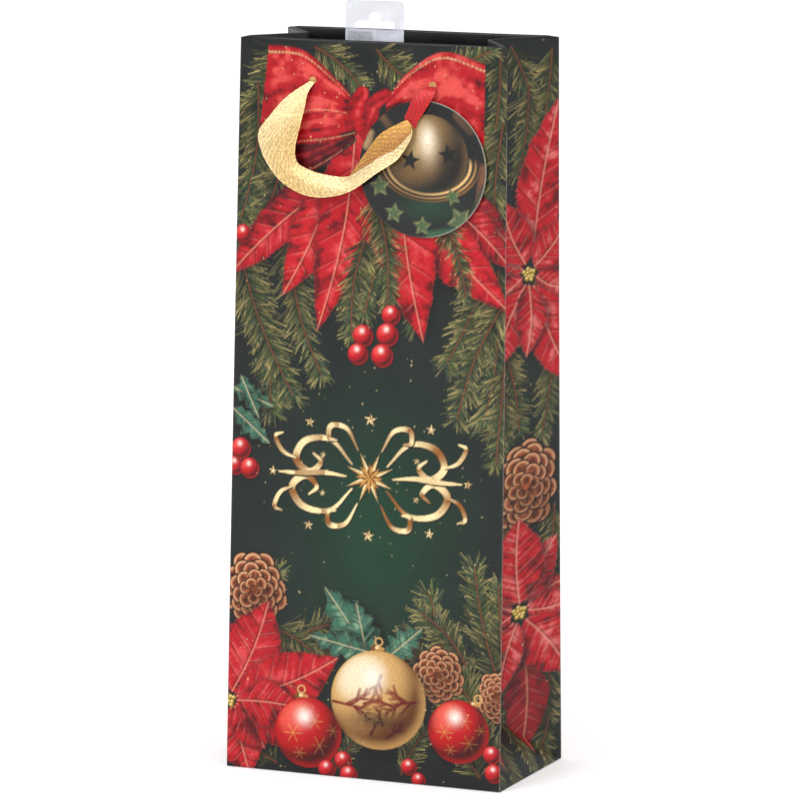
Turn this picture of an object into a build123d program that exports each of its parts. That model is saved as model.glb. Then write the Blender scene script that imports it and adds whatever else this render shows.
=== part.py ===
from build123d import *
from math import cos, radians, sin, sqrt
import os

# Wine gift bag: a tall gusseted paper carrier with a ribbon handle on each side, a round gift
# tag on the front ribbon and a clear hang tab glued inside the mouth.
# Millimetres, +Z up. The bag stands on Z = 0, centred on X and Y, with its front facing -Y.

# ---- Driving dimensions ----
bag_width = 140.0            # across the front, along X
base_depth = 80.0            # front to back at the base
mouth_depth = 60.0           # front to back at the mouth, where the gussets are tucked
panel_height = 355.0         # along the front panel
gusset_tuck = 22.0           # how far the gusset crease lies inside the side at the mouth
foot_height = 30.0           # height of the folded foot's tip on each gusset

paper = 0.4                  # laminated bag paper
hem_height = 40.0            # turned-in paper at the mouth
stiffener_card = 0.8
stiffener_height = 38.0
base_card = 1.2
seam_width = 15.0            # glued seam flap inside the back panel

hole_spacing = 62.0          # between the two ribbon holes of a panel
hole_drop = 19.0             # from the mouth's edge down to the ribbon holes
hole_radius = 2.5
tail_radius = 1.8            # gathered ribbon inside a hole
knot_radius = 4.0
knot_depth = 4.0

ribbon_width = 15.0
ribbon_thickness = 0.5
ribbon_gather = 5.0          # width of the ribbon where it is gathered at a hole
ribbon_pivot = 0.6           # pivot of a ribbon handle, in front of its panel
back_loop_drop = 42.0        # straight part of the back loop, from hole to curve

tag_radius = 32.5
tag_card = 0.5
tag_standoff = 2.0           # from the panel to the back of the tag
tag_hole_radius = 2.25
tag_hole_edge = 6.3          # from the centre of the tag's hole to its rim
tag_lean = 12.0              # degrees the tag hangs out of plumb
tag_hole_x = 22.0            # place of the tag's hole on the front panel
tag_hole_drop = 33.0
tag_neck_radius = 1.5        # ribbon bight through the tag's hole

hang_tab_width = 30.0
hang_tab_rise = 20.0         # above the mouth's edge
hang_tab_overlap = 22.0      # below the mouth's edge, where it is glued
hang_tab_film = 0.4
hang_tab_corner = 2.5
glue_pad = 0.2
slot_width = 21.0            # euro slot
slot_height = 3.8
slot_rise = 8.3              # from the mouth's edge to the slot's centre line
hump_width = 6.5
hump_height = 8.0            # from the slot's lower edge to the hump's top

# ---- Clearances ----
fold_gap = 0.95              # from a fold line to the edge of each flat facet
flat_gap = 0.15              # between neighbouring flat edges
hem_end_gap = 3.0            # from a side fold to a hem's end
stiffener_end_gap = 6.0
flap_end_gap = 2.0
board_end_gap = 4.5
layer_gap = 0.3              # between ribbon and tag layers

# ---- Derived values ----
half_width = bag_width / 2
half_base = base_depth / 2
half_mouth = mouth_depth / 2
panel_lean = half_base - half_mouth
height = sqrt(panel_height ** 2 - panel_lean ** 2)
lean_sine = panel_lean / panel_height
lean_cosine = height / panel_height
mouth_layers = 2 * paper + stiffener_card
hole_level = panel_height - hole_drop
tag_hole_inset = tag_radius - tag_hole_edge

front = Plane(
    origin=(0, -half_base, 0), x_dir=(1, 0, 0), z_dir=(0, -lean_cosine, lean_sine)
)
back = Plane(
    origin=(0, half_base, 0), x_dir=(-1, 0, 0), z_dir=(0, lean_cosine, lean_sine)
)


def slab(x_low, x_high, v_low, v_high, w_low, w_high):
    """A flat block in panel coordinates: x across, v up the panel, w outwards."""
    block = Box(x_high - x_low, v_high - v_low, w_high - w_low)
    return Pos((x_low + x_high) / 2, (v_low + v_high) / 2, (w_low + w_high) / 2) * block


def disc(x, v, radius, w_low, w_high):
    """A round plug in panel coordinates with its axis along w."""
    return Pos(x, v, (w_low + w_high) / 2) * Cylinder(radius, w_high - w_low)


def plate(outline, w_low, w_high):
    """A flat sheet in panel coordinates from a list of (x, v) corners."""
    face = make_face(Polyline(*outline, close=True))
    return extrude(Pos(0, 0, w_low) * face, amount=w_high - w_low)


def punch_ribbon_holes(sheet):
    """Cuts the two ribbon holes of a panel through a sheet in panel coordinates."""
    for x in (-hole_spacing / 2, hole_spacing / 2):
        sheet -= disc(x, hole_level, hole_radius, -5, 5)
    return sheet


def strap(start, end, start_width, end_width):
    """A flat ribbon run between two (x, v, w) points, tapering between two widths."""
    start, end = Vector(*start), Vector(*end)
    run = end - start
    across = Vector(-run.Y, run.X, 0).normalized()
    normal = run.cross(across).normalized()
    corners = [
        start + across * (start_width / 2),
        end + across * (end_width / 2),
        end - across * (end_width / 2),
        start - across * (start_width / 2),
    ]
    face = make_face(Polyline(*corners, close=True))
    return extrude(face, amount=ribbon_thickness / 2, dir=normal, both=True)


# ---- Front and back walls ----
def panel():
    sheet = slab(-half_width, half_width, flat_gap, panel_height, -paper, 0)
    return punch_ribbon_holes(sheet)


def stiffener():
    x = half_width - stiffener_end_gap
    top = panel_height - paper
    sheet = slab(-x, x, top - stiffener_height, top, -paper - stiffener_card, -paper)
    return punch_ribbon_holes(sheet)


def hem():
    x = half_width - hem_end_gap
    low = panel_height - hem_height
    inner = -mouth_layers
    sheet = slab(-x, x, low, panel_height, inner, inner + paper)
    fold = slab(-x, x, panel_height - paper, panel_height, inner, -paper)
    return punch_ribbon_holes(sheet + fold)


def tails_and_knots():
    """The two gathered ribbon tails in their holes, each with its knot inside the bag."""
    seat = -mouth_layers - flat_gap
    pieces = []
    for x in (-hole_spacing / 2, hole_spacing / 2):
        tail = disc(x, hole_level, tail_radius, seat - knot_depth / 2, flat_gap)
        knot = disc(x, hole_level, knot_radius, seat - knot_depth, seat)
        knot = fillet(knot.edges().filter_by(GeomType.CIRCLE), knot_depth * 0.4)
        pieces.append(knot + tail)
    return pieces


def seam_flap():
    x_high = half_width - hem_end_gap
    top = panel_height - hem_height - flat_gap
    return slab(x_high - seam_width, x_high, hem_end_gap, top, -2 * paper, -paper)


# ---- Gussets ----
def tuck_at(z):
    """Depth of the gusset crease inside the side at height z, on the flat facet's plane."""
    closing = half_base / panel_lean
    return gusset_tuck * (closing - z / height) / (closing - 1)


def facet(corners, w_low, w_high, inset):
    """A flat sheet through 3-D corners, with w measured towards the bag's inside."""
    points = [Vector(*corner) for corner in corners]
    normal = (points[1] - points[0]).cross(points[2] - points[0]).normalized()
    middle = sum(points[1:], points[0]) * (1 / len(points))
    target = Vector(0, middle.Y * 1.2, 0) - Vector(middle.X, middle.Y, 0)
    if normal.dot(target) < 0:
        normal = normal * -1
    plane = Plane(origin=points[0], x_dir=points[1] - points[0], z_dir=normal)
    local = [plane.to_local_coords(point) for point in points]
    face = make_face(Polyline(*[(point.X, point.Y) for point in local], close=True))
    face = offset(face, -inset, kind=Kind.INTERSECTION)
    return plane * extrude(Pos(0, 0, w_low) * face, amount=w_high - w_low)


def gusset_half(side, half):
    """One flat half of a gusset: side is +1 or -1 along X, half is +1 or -1 along Y."""
    x = side * half_width
    corners = [
        (x, half * half_base, 0),
        (x, half * half_mouth, height),
        (x - side * gusset_tuck, 0, height),
        (x - side * tuck_at(foot_height), 0, foot_height),
    ]
    return facet(corners, 0, paper, fold_gap)


def gusset_hem_half(side, half):
    """The turned-in strip inside the top of one gusset half."""
    z_low = height - hem_height
    depth_low = half_base - panel_lean * z_low / height
    x = side * half_width
    corners = [
        (x, half * depth_low, z_low),
        (x, half * half_mouth, height),
        (x - side * gusset_tuck, 0, height),
        (x - side * tuck_at(z_low), 0, z_low),
    ]
    return facet(corners, paper, 2 * paper, fold_gap + paper)


def gusset_foot(side):
    """The triangle that folds in above the base at the foot of a gusset."""
    x = side * half_width
    tip = x - side * tuck_at(foot_height)
    corners = [(x, -half_base, 0), (x, half_base, 0), (tip, 0, foot_height)]
    points = [Vector(*corner) for corner in corners]
    normal = Vector(-side * foot_height, 0, -tuck_at(foot_height)).normalized()
    plane = Plane(origin=points[0], x_dir=points[1] - points[0], z_dir=normal)
    local = [plane.to_local_coords(point) for point in points]
    face = make_face(Polyline(*[(point.X, point.Y) for point in local], close=True))
    face = offset(face, -fold_gap, kind=Kind.INTERSECTION)
    return plane * extrude(face, amount=paper)


# ---- Base ----
base_half_x = half_width - flap_end_gap
base_half_y = half_base - paper - flat_gap


def base_outer_flap():
    return slab(-base_half_x, base_half_x, -base_half_y, half_base * 0.6, 0, paper)


def base_inner_flap():
    x = base_half_x - paper
    return slab(-x, x, -half_base * 0.6, base_half_y, paper, 2 * paper)


def base_side_flaps():
    """The two trapezoid flaps folded in from the gussets, under the board."""
    pieces = []
    reach = half_base * 0.9
    for side in (-1, 1):
        x_outer = side * (base_half_x - 2 * paper)
        x_inner = x_outer - side * reach
        outline = [
            (x_outer, -base_half_y),
            (x_outer, base_half_y),
            (x_inner, base_half_y - reach * 0.5),
            (x_inner, -base_half_y + reach * 0.5),
        ]
        pieces.append(plate(outline, 2 * paper, 3 * paper))
    return pieces


def base_board():
    x = half_width - board_end_gap
    y = base_half_y - flat_gap
    board = Pos(0, 0, 3 * paper + base_card / 2) * Box(2 * x, 2 * y, base_card)
    return fillet(board.edges().filter_by(Axis.Z), 2)


# ---- Hang tab ----
def euro_slot():
    """A horizontal slot with a round-topped hump at its middle."""
    slot = Pos(0, slot_rise) * SlotOverall(slot_width, slot_height)
    straight = hump_height - hump_width / 2
    low = slot_rise - slot_height / 2
    hump = Pos(0, low + straight / 2) * Rectangle(hump_width, straight)
    crown = Pos(0, low + straight) * Circle(hump_width / 2)
    return slot + hump + crown


def hang_tab():
    outer = -mouth_layers - glue_pad
    tall = hang_tab_overlap + hang_tab_rise
    sheet = Pos(0, (hang_tab_rise - hang_tab_overlap) / 2)
    sheet = sheet * RectangleRounded(hang_tab_width, tall, hang_tab_corner)
    sheet = sheet - euro_slot()
    return extrude(Pos(0, panel_height, outer - hang_tab_film) * sheet, amount=hang_tab_film)


def hang_tab_glue():
    x = hang_tab_width / 2 - 1
    low = panel_height - hang_tab_overlap + 1
    return slab(-x, x, low, panel_height - 3, -mouth_layers - glue_pad, -mouth_layers)


# ---- Ribbons ----
tag_front = tag_standoff + tag_card
ribbon_over_tag = tag_front + layer_gap          # back of the ribbon where it crosses the tag
ribbon_over_middle = ribbon_over_tag + ribbon_thickness / 2
over_tag_front = ribbon_over_tag + ribbon_thickness
tag_hole_level = panel_height - tag_hole_drop
ramp_drop = 5.5              # down the panel, from a hole to where the ribbon clears the tag


def below_mouth(x, drop, w=0.0):
    return (x, panel_height - drop, w)


def rolled_end(x):
    """The gathered ribbon's rounded end on the pivot line in front of a hole."""
    roll = Rot(0, 90, 0) * Cylinder(ribbon_thickness * 0.6, ribbon_gather)
    return Pos(x, hole_level, ribbon_pivot) * roll


def front_ribbon():
    """The gold loop that falls to the left, passes its bight through the tag and rises again."""
    left_hole = (-hole_spacing / 2, hole_level, ribbon_pivot)
    right_hole = (hole_spacing / 2, hole_level, ribbon_pivot)
    lifted = hole_drop + ramp_drop
    left_lift = below_mouth(-hole_spacing / 2, lifted, ribbon_over_middle)
    right_lift = below_mouth(hole_spacing / 2, lifted, ribbon_over_middle)
    left_fold = below_mouth(-45.0, 44.0, ribbon_over_middle)
    bight = (tag_hole_x, tag_hole_level, ribbon_over_middle)
    loop = strap(left_hole, left_lift, ribbon_gather, ribbon_gather + 1)
    loop += rolled_end(-hole_spacing / 2) + rolled_end(hole_spacing / 2)
    loop += strap(left_lift, left_fold, ribbon_gather + 1, ribbon_width)
    loop += strap(right_hole, right_lift, ribbon_gather, ribbon_gather)
    loop += strap(right_lift, bight, ribbon_gather, ribbon_gather + 2)
    sweep = [
        (-45.0, 44.0), (-44.5, 55.0), (-38.0, 64.0), (-25.0, 68.0),
        (-8.0, 66.0), (4.0, 58.0), (12.0, 49.0), (18.0, 40.0),
    ]
    widths = [15.0, 14.0, 13.0, 12.0, 11.0, 12.0, 12.0, 8.0, 5.0]
    route = [below_mouth(x, drop, ribbon_over_middle) for x, drop in sweep] + [bight]
    for start, end, wide, narrow in zip(route, route[1:], widths, widths[1:]):
        loop += strap(start, end, wide, narrow)
        loop += disc(start[0], start[1], wide / 2, ribbon_over_tag, over_tag_front)
    knot_back = ribbon_pivot - ribbon_thickness / 2
    knot_front = tag_standoff - flat_gap
    loop += disc(tag_hole_x, tag_hole_level, tag_neck_radius, knot_front - flat_gap, over_tag_front)
    loop += disc(tag_hole_x, tag_hole_level, tag_hole_radius + 0.8, knot_back, knot_front)
    return loop


def back_ribbon():
    """The loop that hangs straight down behind the back panel."""
    reach = hole_spacing / 2
    bottom = hole_level - back_loop_drop
    w_low = ribbon_pivot - ribbon_thickness / 2
    w_high = ribbon_pivot + ribbon_thickness / 2
    ring = disc(0, bottom, reach + ribbon_width / 2, w_low, w_high)
    ring -= disc(0, bottom, reach - ribbon_width / 2, w_low - 1, w_high + 1)
    ring -= slab(-2 * reach, 2 * reach, bottom, bottom + 2 * reach, w_low - 1, w_high + 1)
    loop = ring
    for x in (-reach, reach):
        full = back_loop_drop * 0.45
        hole = (x, hole_level, ribbon_pivot)
        wide = (x, hole_level - full, ribbon_pivot)
        low = (x, bottom, ribbon_pivot)
        loop += strap(hole, wide, ribbon_gather, ribbon_width)
        loop += strap(wide, low, ribbon_width, ribbon_width) + rolled_end(x)
    return loop


# ---- Gift tag ----
def gift_tag():
    """The round card on the front ribbon, with its hole near the rim."""
    x = tag_hole_x + tag_hole_inset * sin(radians(tag_lean))
    v = tag_hole_level - tag_hole_inset * cos(radians(tag_lean))
    card = disc(x, v, tag_radius, tag_standoff, tag_front)
    return card - disc(tag_hole_x, tag_hole_level, tag_hole_radius, 0, tag_front + 1)


# ---- Writing the sub-parts ----
def write(name, shape, frame=None):
    pieces = shape if isinstance(shape, list) else [shape]
    solids = [solid for piece in pieces for solid in piece.solids()]
    if frame is not None:
        solids = [frame * solid for solid in solids]
    whole = solids[0] if len(solids) == 1 else Compound(children=solids)
    export_step(whole, f"parts/{name}.step")


os.makedirs("parts", exist_ok=True)
for wall, frame in (("front", front), ("back", back)):
    write(f"{wall}_panel", panel(), frame)
    write(f"{wall}_hem", hem(), frame)
    write(f"{wall}_stiffener", stiffener(), frame)
    write(f"{wall}_ribbon_knots", tails_and_knots(), frame)
for label, side in (("right", 1), ("left", -1)):
    write(f"{label}_gusset_front_half", gusset_half(side, -1))
    write(f"{label}_gusset_back_half", gusset_half(side, 1))
    write(f"{label}_gusset_foot", gusset_foot(side))
    write(f"{label}_gusset_hem", [gusset_hem_half(side, -1), gusset_hem_half(side, 1)])
write("seam_flap", seam_flap(), back)
write("base_outer_flap", base_outer_flap())
write("base_inner_flap", base_inner_flap())
write("base_side_flaps", base_side_flaps())
write("base_board", base_board())
write("hang_tab", hang_tab(), front)
write("hang_tab_glue", hang_tab_glue(), front)
write("front_ribbon", front_ribbon(), front)
write("back_ribbon", back_ribbon(), back)
write("gift_tag", gift_tag(), front)
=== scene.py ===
import math

import bpy
import numpy as np
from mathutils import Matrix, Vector


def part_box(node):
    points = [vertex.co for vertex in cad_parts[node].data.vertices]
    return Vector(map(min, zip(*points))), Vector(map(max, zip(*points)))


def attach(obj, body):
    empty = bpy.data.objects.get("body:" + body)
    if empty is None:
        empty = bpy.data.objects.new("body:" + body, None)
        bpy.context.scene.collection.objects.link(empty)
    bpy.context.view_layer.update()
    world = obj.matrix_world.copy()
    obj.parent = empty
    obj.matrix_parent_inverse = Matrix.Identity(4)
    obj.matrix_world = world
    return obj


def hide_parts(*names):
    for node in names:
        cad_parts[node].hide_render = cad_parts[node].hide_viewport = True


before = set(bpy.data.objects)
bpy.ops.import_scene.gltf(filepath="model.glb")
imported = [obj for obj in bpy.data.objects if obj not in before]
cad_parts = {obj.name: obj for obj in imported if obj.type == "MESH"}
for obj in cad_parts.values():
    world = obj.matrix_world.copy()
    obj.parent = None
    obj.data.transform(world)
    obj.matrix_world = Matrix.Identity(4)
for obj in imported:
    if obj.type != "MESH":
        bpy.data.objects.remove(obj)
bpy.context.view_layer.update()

MM = 0.001

# ---------------------------------------------------------------------------------------------
# Sizes in mm.
wall_low, wall_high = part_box("front_panel")
tag_low, tag_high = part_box("gift_tag")
PAPER = 0.4
HALF_WIDTH = wall_high.x / MM
HALF_BASE = -wall_low.y / MM
HALF_MOUTH = -(wall_high.y / MM) + PAPER
TOP = wall_high.z / MM
PANEL = math.hypot(TOP, HALF_BASE - HALF_MOUTH)
LEAN = (HALF_BASE - HALF_MOUTH) / PANEL
UPRIGHT = TOP / PANEL
TUCK_TOP = 22.0
FOOT_TIP = 30.0
FOOT_TUCK = 28.7
HEM = 40.0
GUSSET = 80.0
HOLE_X, HOLE_DROP = 31.0, 19.0
TAG_RADIUS = 32.5
TAG_HOLE = (22.0, 33.0)


# ---------------------------------------------------------------------------------------------
# A painted sheet: a numpy colour field in millimetres, filled in by shape functions
# ---------------------------------------------------------------------------------------------
def srgb(r, g, b):
    """Linear colour from the 0 to 255 values a printer would name."""
    c = np.array([r, g, b], float) / 255
    return np.where(c <= 0.04045, c / 12.92, ((c + 0.055) / 1.055) ** 2.4)


def mix(a, b, t):
    t = np.asarray(t)[..., None]
    return a * (1 - t) + b * t


def smooth(edge0, edge1, x):
    t = np.clip((x - edge0) / (edge1 - edge0), 0, 1)
    return t * t * (3 - 2 * t)


class Sheet:
    """Linear RGB on a regular grid of points, x to the right and y up."""

    def __init__(self, x0, x1, y0, y1, step, colour):
        self.x0, self.y0, self.step = x0, y0, step
        self.nx = int(round((x1 - x0) / step)) + 1
        self.ny = int(round((y1 - y0) / step)) + 1
        self.rgb = np.ones((self.ny, self.nx, 3)) * colour

    def window(self, cx, cy, reach_x, reach_y=None):
        """Slices and coordinates of the points near (cx, cy), or None when there are none."""
        reach_y = reach_x if reach_y is None else reach_y
        i0 = max(0, int((cx - reach_x - self.x0) / self.step))
        i1 = min(self.nx, int((cx + reach_x - self.x0) / self.step) + 2)
        j0 = max(0, int((cy - reach_y - self.y0) / self.step))
        j1 = min(self.ny, int((cy + reach_y - self.y0) / self.step) + 2)
        if i0 >= i1 or j0 >= j1:
            return None
        x = self.x0 + np.arange(i0, i1) * self.step
        y = self.y0 + np.arange(j0, j1) * self.step
        return (slice(j0, j1), slice(i0, i1)), *np.meshgrid(x, y)

    def lay(self, where, colour, alpha):
        """Blends colour over the points in the window by alpha."""
        self.rgb[where] = mix(self.rgb[where], colour, np.clip(alpha, 0, 1))

    def at(self, x, y):
        """Bilinear colours at the points x, y."""
        fx = np.clip((x - self.x0) / self.step, 0, self.nx - 1.001)
        fy = np.clip((y - self.y0) / self.step, 0, self.ny - 1.001)
        i, j = fx.astype(int), fy.astype(int)
        a, b = (fx - i)[..., None], (fy - j)[..., None]
        g = self.rgb
        low = g[j, i] * (1 - a) + g[j, i + 1] * a
        high = g[j + 1, i] * (1 - a) + g[j + 1, i + 1] * a
        return low * (1 - b) + high * b


def noise(x, y, scale, seed):
    """Smooth value noise from a seeded lattice, 0 to 1."""
    lattice = np.random.default_rng(seed).random((64, 64))
    fx, fy = x / scale, y / scale
    i, j = np.floor(fx).astype(int), np.floor(fy).astype(int)
    a, b = fx - i, fy - j
    a, b = a * a * (3 - 2 * a), b * b * (3 - 2 * b)
    v00, v10 = lattice[j % 64, i % 64], lattice[j % 64, (i + 1) % 64]
    v01, v11 = lattice[(j + 1) % 64, i % 64], lattice[(j + 1) % 64, (i + 1) % 64]
    return (v00 * (1 - a) + v10 * a) * (1 - b) + (v01 * (1 - a) + v11 * a) * b


EDGE = 0.35  # softness of a painted edge, in mm
NEEDLES_PER_MM = 7.5
BEAD_TURN = 2.4   # radians from one bead of a flower's heart to the next

RED_DARK, RED, RED_LIGHT = srgb(92, 6, 14), srgb(182, 18, 30), srgb(232, 88, 88)
GOLD_DARK, GOLD, GOLD_LIGHT = srgb(120, 72, 26), srgb(205, 150, 78), srgb(250, 226, 170)
NEEDLES = [srgb(40, 72, 44), srgb(62, 92, 50), srgb(30, 62, 52), srgb(92, 108, 58), srgb(50, 80, 68)]


def stroke(sheet, x0, y0, x1, y1, width, colour0, colour1, alpha=1.0, taper=0.6):
    """A tapering line, as one needle or vein."""
    win = sheet.window((x0 + x1) / 2, (y0 + y1) / 2, abs(x1 - x0) / 2 + width + 1,
                       abs(y1 - y0) / 2 + width + 1)
    if win is None:
        return
    where, x, y = win
    dx, dy = x1 - x0, y1 - y0
    length2 = dx * dx + dy * dy + 1e-9
    t = np.clip(((x - x0) * dx + (y - y0) * dy) / length2, 0, 1)
    d = np.hypot(x - x0 - t * dx, y - y0 - t * dy)
    half = width / 2 * (1 - taper * t)
    cover = np.clip((half + EDGE / 2 - d) / EDGE, 0, 1)
    sheet.lay(where, mix(colour0, colour1, t), cover * alpha)


def pine(sheet, x0, y0, x1, y1, reach, seed, bend=0.0):
    """A pine twig: a curved stem with needles leaning towards its tip."""
    rng = np.random.default_rng(seed)
    length = math.hypot(x1 - x0, y1 - y0)
    ux, uy = (x1 - x0) / length, (y1 - y0) / length

    def on_stem(t):
        side = bend * math.sin(math.pi * t)
        return x0 + (x1 - x0) * t - uy * side, y0 + (y1 - y0) * t + ux * side

    order = np.sort(rng.random(int(length * NEEDLES_PER_MM)))
    for t in order:
        px, py = on_stem(t)
        side = rng.choice((-1, 1))
        angle = side * math.radians(rng.uniform(8, 62))
        ca, sa = math.cos(angle), math.sin(angle)
        dx, dy = ux * ca - uy * sa, ux * sa + uy * ca
        size = reach * rng.uniform(0.4, 1.12) * (1 - 0.45 * t)
        base = NEEDLES[rng.integers(len(NEEDLES))] * rng.uniform(0.06, 0.95) * (0.30 + 0.70 * t)
        tip = mix(base, srgb(222, 200, 128), rng.random() ** 3.2)
        wide = rng.uniform(0.4, 0.72)
        mx, my = px + dx * size * 0.5, py + dy * size * 0.5
        turn = rng.uniform(-0.28, 0.28)
        ex, ey = dx - dy * turn, dy + dx * turn
        half_tone = mix(base, tip, 0.35)
        stroke(sheet, px, py, mx, my, wide, base, half_tone, 1.0, 0.1)
        stroke(sheet, mx, my, mx + ex * size * 0.5, my + ey * size * 0.5, wide * 0.9, half_tone, tip)
    steps = 10
    for k in range(steps):
        a, b = on_stem(k / steps), on_stem((k + 1) / steps)
        stroke(sheet, *a, *b, 0.9, srgb(112, 50, 34), srgb(150, 80, 50), 0.75)


def frame_of(sheet, x0, y0, x1, y1, half):
    """Window round a leaf, with t along it and s across it (-1 to 1 at width half)."""
    reach = math.hypot(x1 - x0, y1 - y0)
    win = sheet.window((x0 + x1) / 2, (y0 + y1) / 2, abs(x1 - x0) / 2 + half + 3,
                       abs(y1 - y0) / 2 + half + 3)
    if win is None:
        return None
    where, x, y = win
    ux, uy = (x1 - x0) / reach, (y1 - y0) / reach
    t = ((x - x0) * ux + (y - y0) * uy) / reach
    s = (-(x - x0) * uy + (y - y0) * ux) / half
    return where, t, s, reach


def leaf(sheet, x0, y0, x1, y1, half, seed=0, bend=0.0, dark=RED_DARK, mid=RED, light=RED_LIGHT,
         teeth=0.0, shine=0.6, veins=7, shadow=0.6):
    """A pointed leaf from its base to its tip, with a midrib, veins and a lit and a dark half."""
    def outline_at(tt):
        return np.sin(np.pi * tt ** 0.82) ** 0.95

    if shadow:
        got = frame_of(sheet, x0 + 1.0, y0 - 1.4, x1 + 1.0, y1 - 1.4, half * 1.12)
        if got:
            where, t, s, reach = got
            tt = np.clip(t, 0, 1)
            s = s - bend * np.sin(np.pi * tt) / half
            cover = smooth(0.22, -0.22, np.abs(s) - outline_at(tt)) * (t > 0) * (t < 1)
            sheet.lay(where, srgb(5, 5, 5), cover * shadow)
    got = frame_of(sheet, x0, y0, x1, y1, half)
    if got is None:
        return
    where, t, s, reach = got
    tt = np.clip(t, 0, 1)
    s = s - bend * np.sin(np.pi * tt) / half
    outline = outline_at(tt)
    if teeth:
        saw = np.abs((tt * 4.5 + 0.5 * (s > 0)) % 1 - 0.5) * 2
        outline = outline * (1 - teeth * (1 - saw)) + 0.02
    else:
        saw = (tt * reach / 3.1 + 0.4 * (s > 0)) % 1
        outline = outline * (1 - 0.09 * saw)
    wobble = 0.22 * (noise(tt * reach, np.sign(s) * 7 + 20, 6.0, seed + 3) - 0.5)
    inside = (outline * (1 + wobble) - np.abs(s)) * half
    cover = np.clip(inside / EDGE + 0.5, 0, 1) * (t > -0.01) * (t < 1.01)
    slant = tt * veins - np.abs(s) * (0.5 * veins * half / reach + 0.35) + (s > 0) * 0.4
    streak = noise(slant * 4.2, np.abs(s) * 1.3 + 9 * (s > 0), 1.0, seed + 21) - 0.5
    blotch = noise(tt * reach, s * half, 5.0, seed) - 0.5
    grain = noise(tt * reach, s * half, 1.3, seed + 5) - 0.5
    curve = np.cos(np.clip(np.abs(s) / np.maximum(outline, 0.05), 0, 1) * 2.6)
    side = np.where(s > 0, 0.50, 0.36)
    shade = np.clip(side + 0.13 * curve + 0.50 * streak + 0.55 * blotch + 0.25 * grain, 0, 1)
    colour = mix(dark, mid, smooth(0.05, 0.48, shade))
    colour = mix(colour, light, smooth(0.55, 0.95, shade) * shine)
    phase = slant % 1 - 0.5
    fade = smooth(1.0, 0.5, np.abs(s) / np.maximum(outline, 0.05))
    vein = np.exp(-(phase * reach / veins / 0.30) ** 2)
    colour = mix(colour, mix(light, srgb(255, 214, 190), 0.35), vein * 0.42 * fade * shine)
    after = np.exp(-((phase + 0.1) * reach / veins / 0.5) ** 2)
    colour = mix(colour, dark * 0.6, after * (1 - vein) * 0.5)
    rib = np.exp(-(s * half / 0.34) ** 2)
    colour = mix(colour, mix(light, srgb(240, 190, 150), 0.5), rib * 0.75)
    colour = mix(colour, dark * 0.7, np.exp(-((s * half - 0.8) / 0.5) ** 2) * 0.5)
    colour = mix(colour, dark * 0.6, smooth(1.4, 0.3, inside) * 0.45)
    colour = mix(colour, light, np.exp(-((inside - 0.25) / 0.22) ** 2) * 0.35 * shine)
    sheet.lay(where, colour, cover)


def holly(sheet, x0, y0, x1, y1, half, seed=0):
    leaf(sheet, x0, y0, x1, y1, half, seed, dark=srgb(16, 40, 34), mid=srgb(58, 104, 84),
         light=srgb(156, 190, 152), teeth=0.5, veins=5, shine=0.55)


def ball(sheet, cx, cy, r, dark, mid, light, pattern=None, spot=0.8, shadow=0.55):
    """A lit sphere with a rim, a soft highlight and an optional surface pattern."""
    win = sheet.window(cx + r * 0.12, cy - r * 0.15, r * 1.35)
    if win is None:
        return
    where, x, y = win
    d = np.hypot(x - cx - r * 0.12, y - cy + r * 0.16) / r
    sheet.lay(where, srgb(4, 4, 4), smooth(1.22, 0.9, d) * shadow)
    where, x, y = sheet.window(cx, cy, r + 1)
    nx, ny = (x - cx) / r, (y - cy) / r
    d = np.hypot(nx, ny)
    nz = np.sqrt(np.clip(1 - d * d, 0, 1))
    lit = np.clip(-0.45 * nx + 0.5 * ny + 0.74 * nz, 0, 1)
    colour = mix(dark, mid, smooth(0.1, 0.75, lit))
    colour = mix(colour, light, smooth(0.72, 1.0, lit) * 0.8)
    if pattern is not None:
        paint, amount = pattern(nx, ny)
        colour = mix(colour, paint * (0.35 + 0.9 * lit[..., None]), amount)
    bounce = smooth(0.75, 1.0, d) * smooth(0.1, 0.9, 0.6 * nx - 0.7 * ny + 0.3)
    colour = mix(colour, mid * 1.3, bounce * 0.45)
    glint = np.exp(-((nx + 0.12) ** 2 + (ny - 0.45) ** 2) / 0.05)
    colour = mix(colour, srgb(255, 246, 236), glint * spot)
    cover = np.clip((1 - d) * r / EDGE + 0.5, 0, 1)
    sheet.lay(where, colour, cover)


def berry(sheet, cx, cy, r):
    ball(sheet, cx, cy, r, srgb(84, 6, 12), srgb(186, 20, 30), srgb(232, 70, 70), spot=0.85)
    stroke(sheet, cx + r * 0.2, cy - r * 0.55, cx + r * 0.2, cy - r * 0.5, 0.8, srgb(30, 6, 6),
           srgb(30, 6, 6), 0.7)


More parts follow.
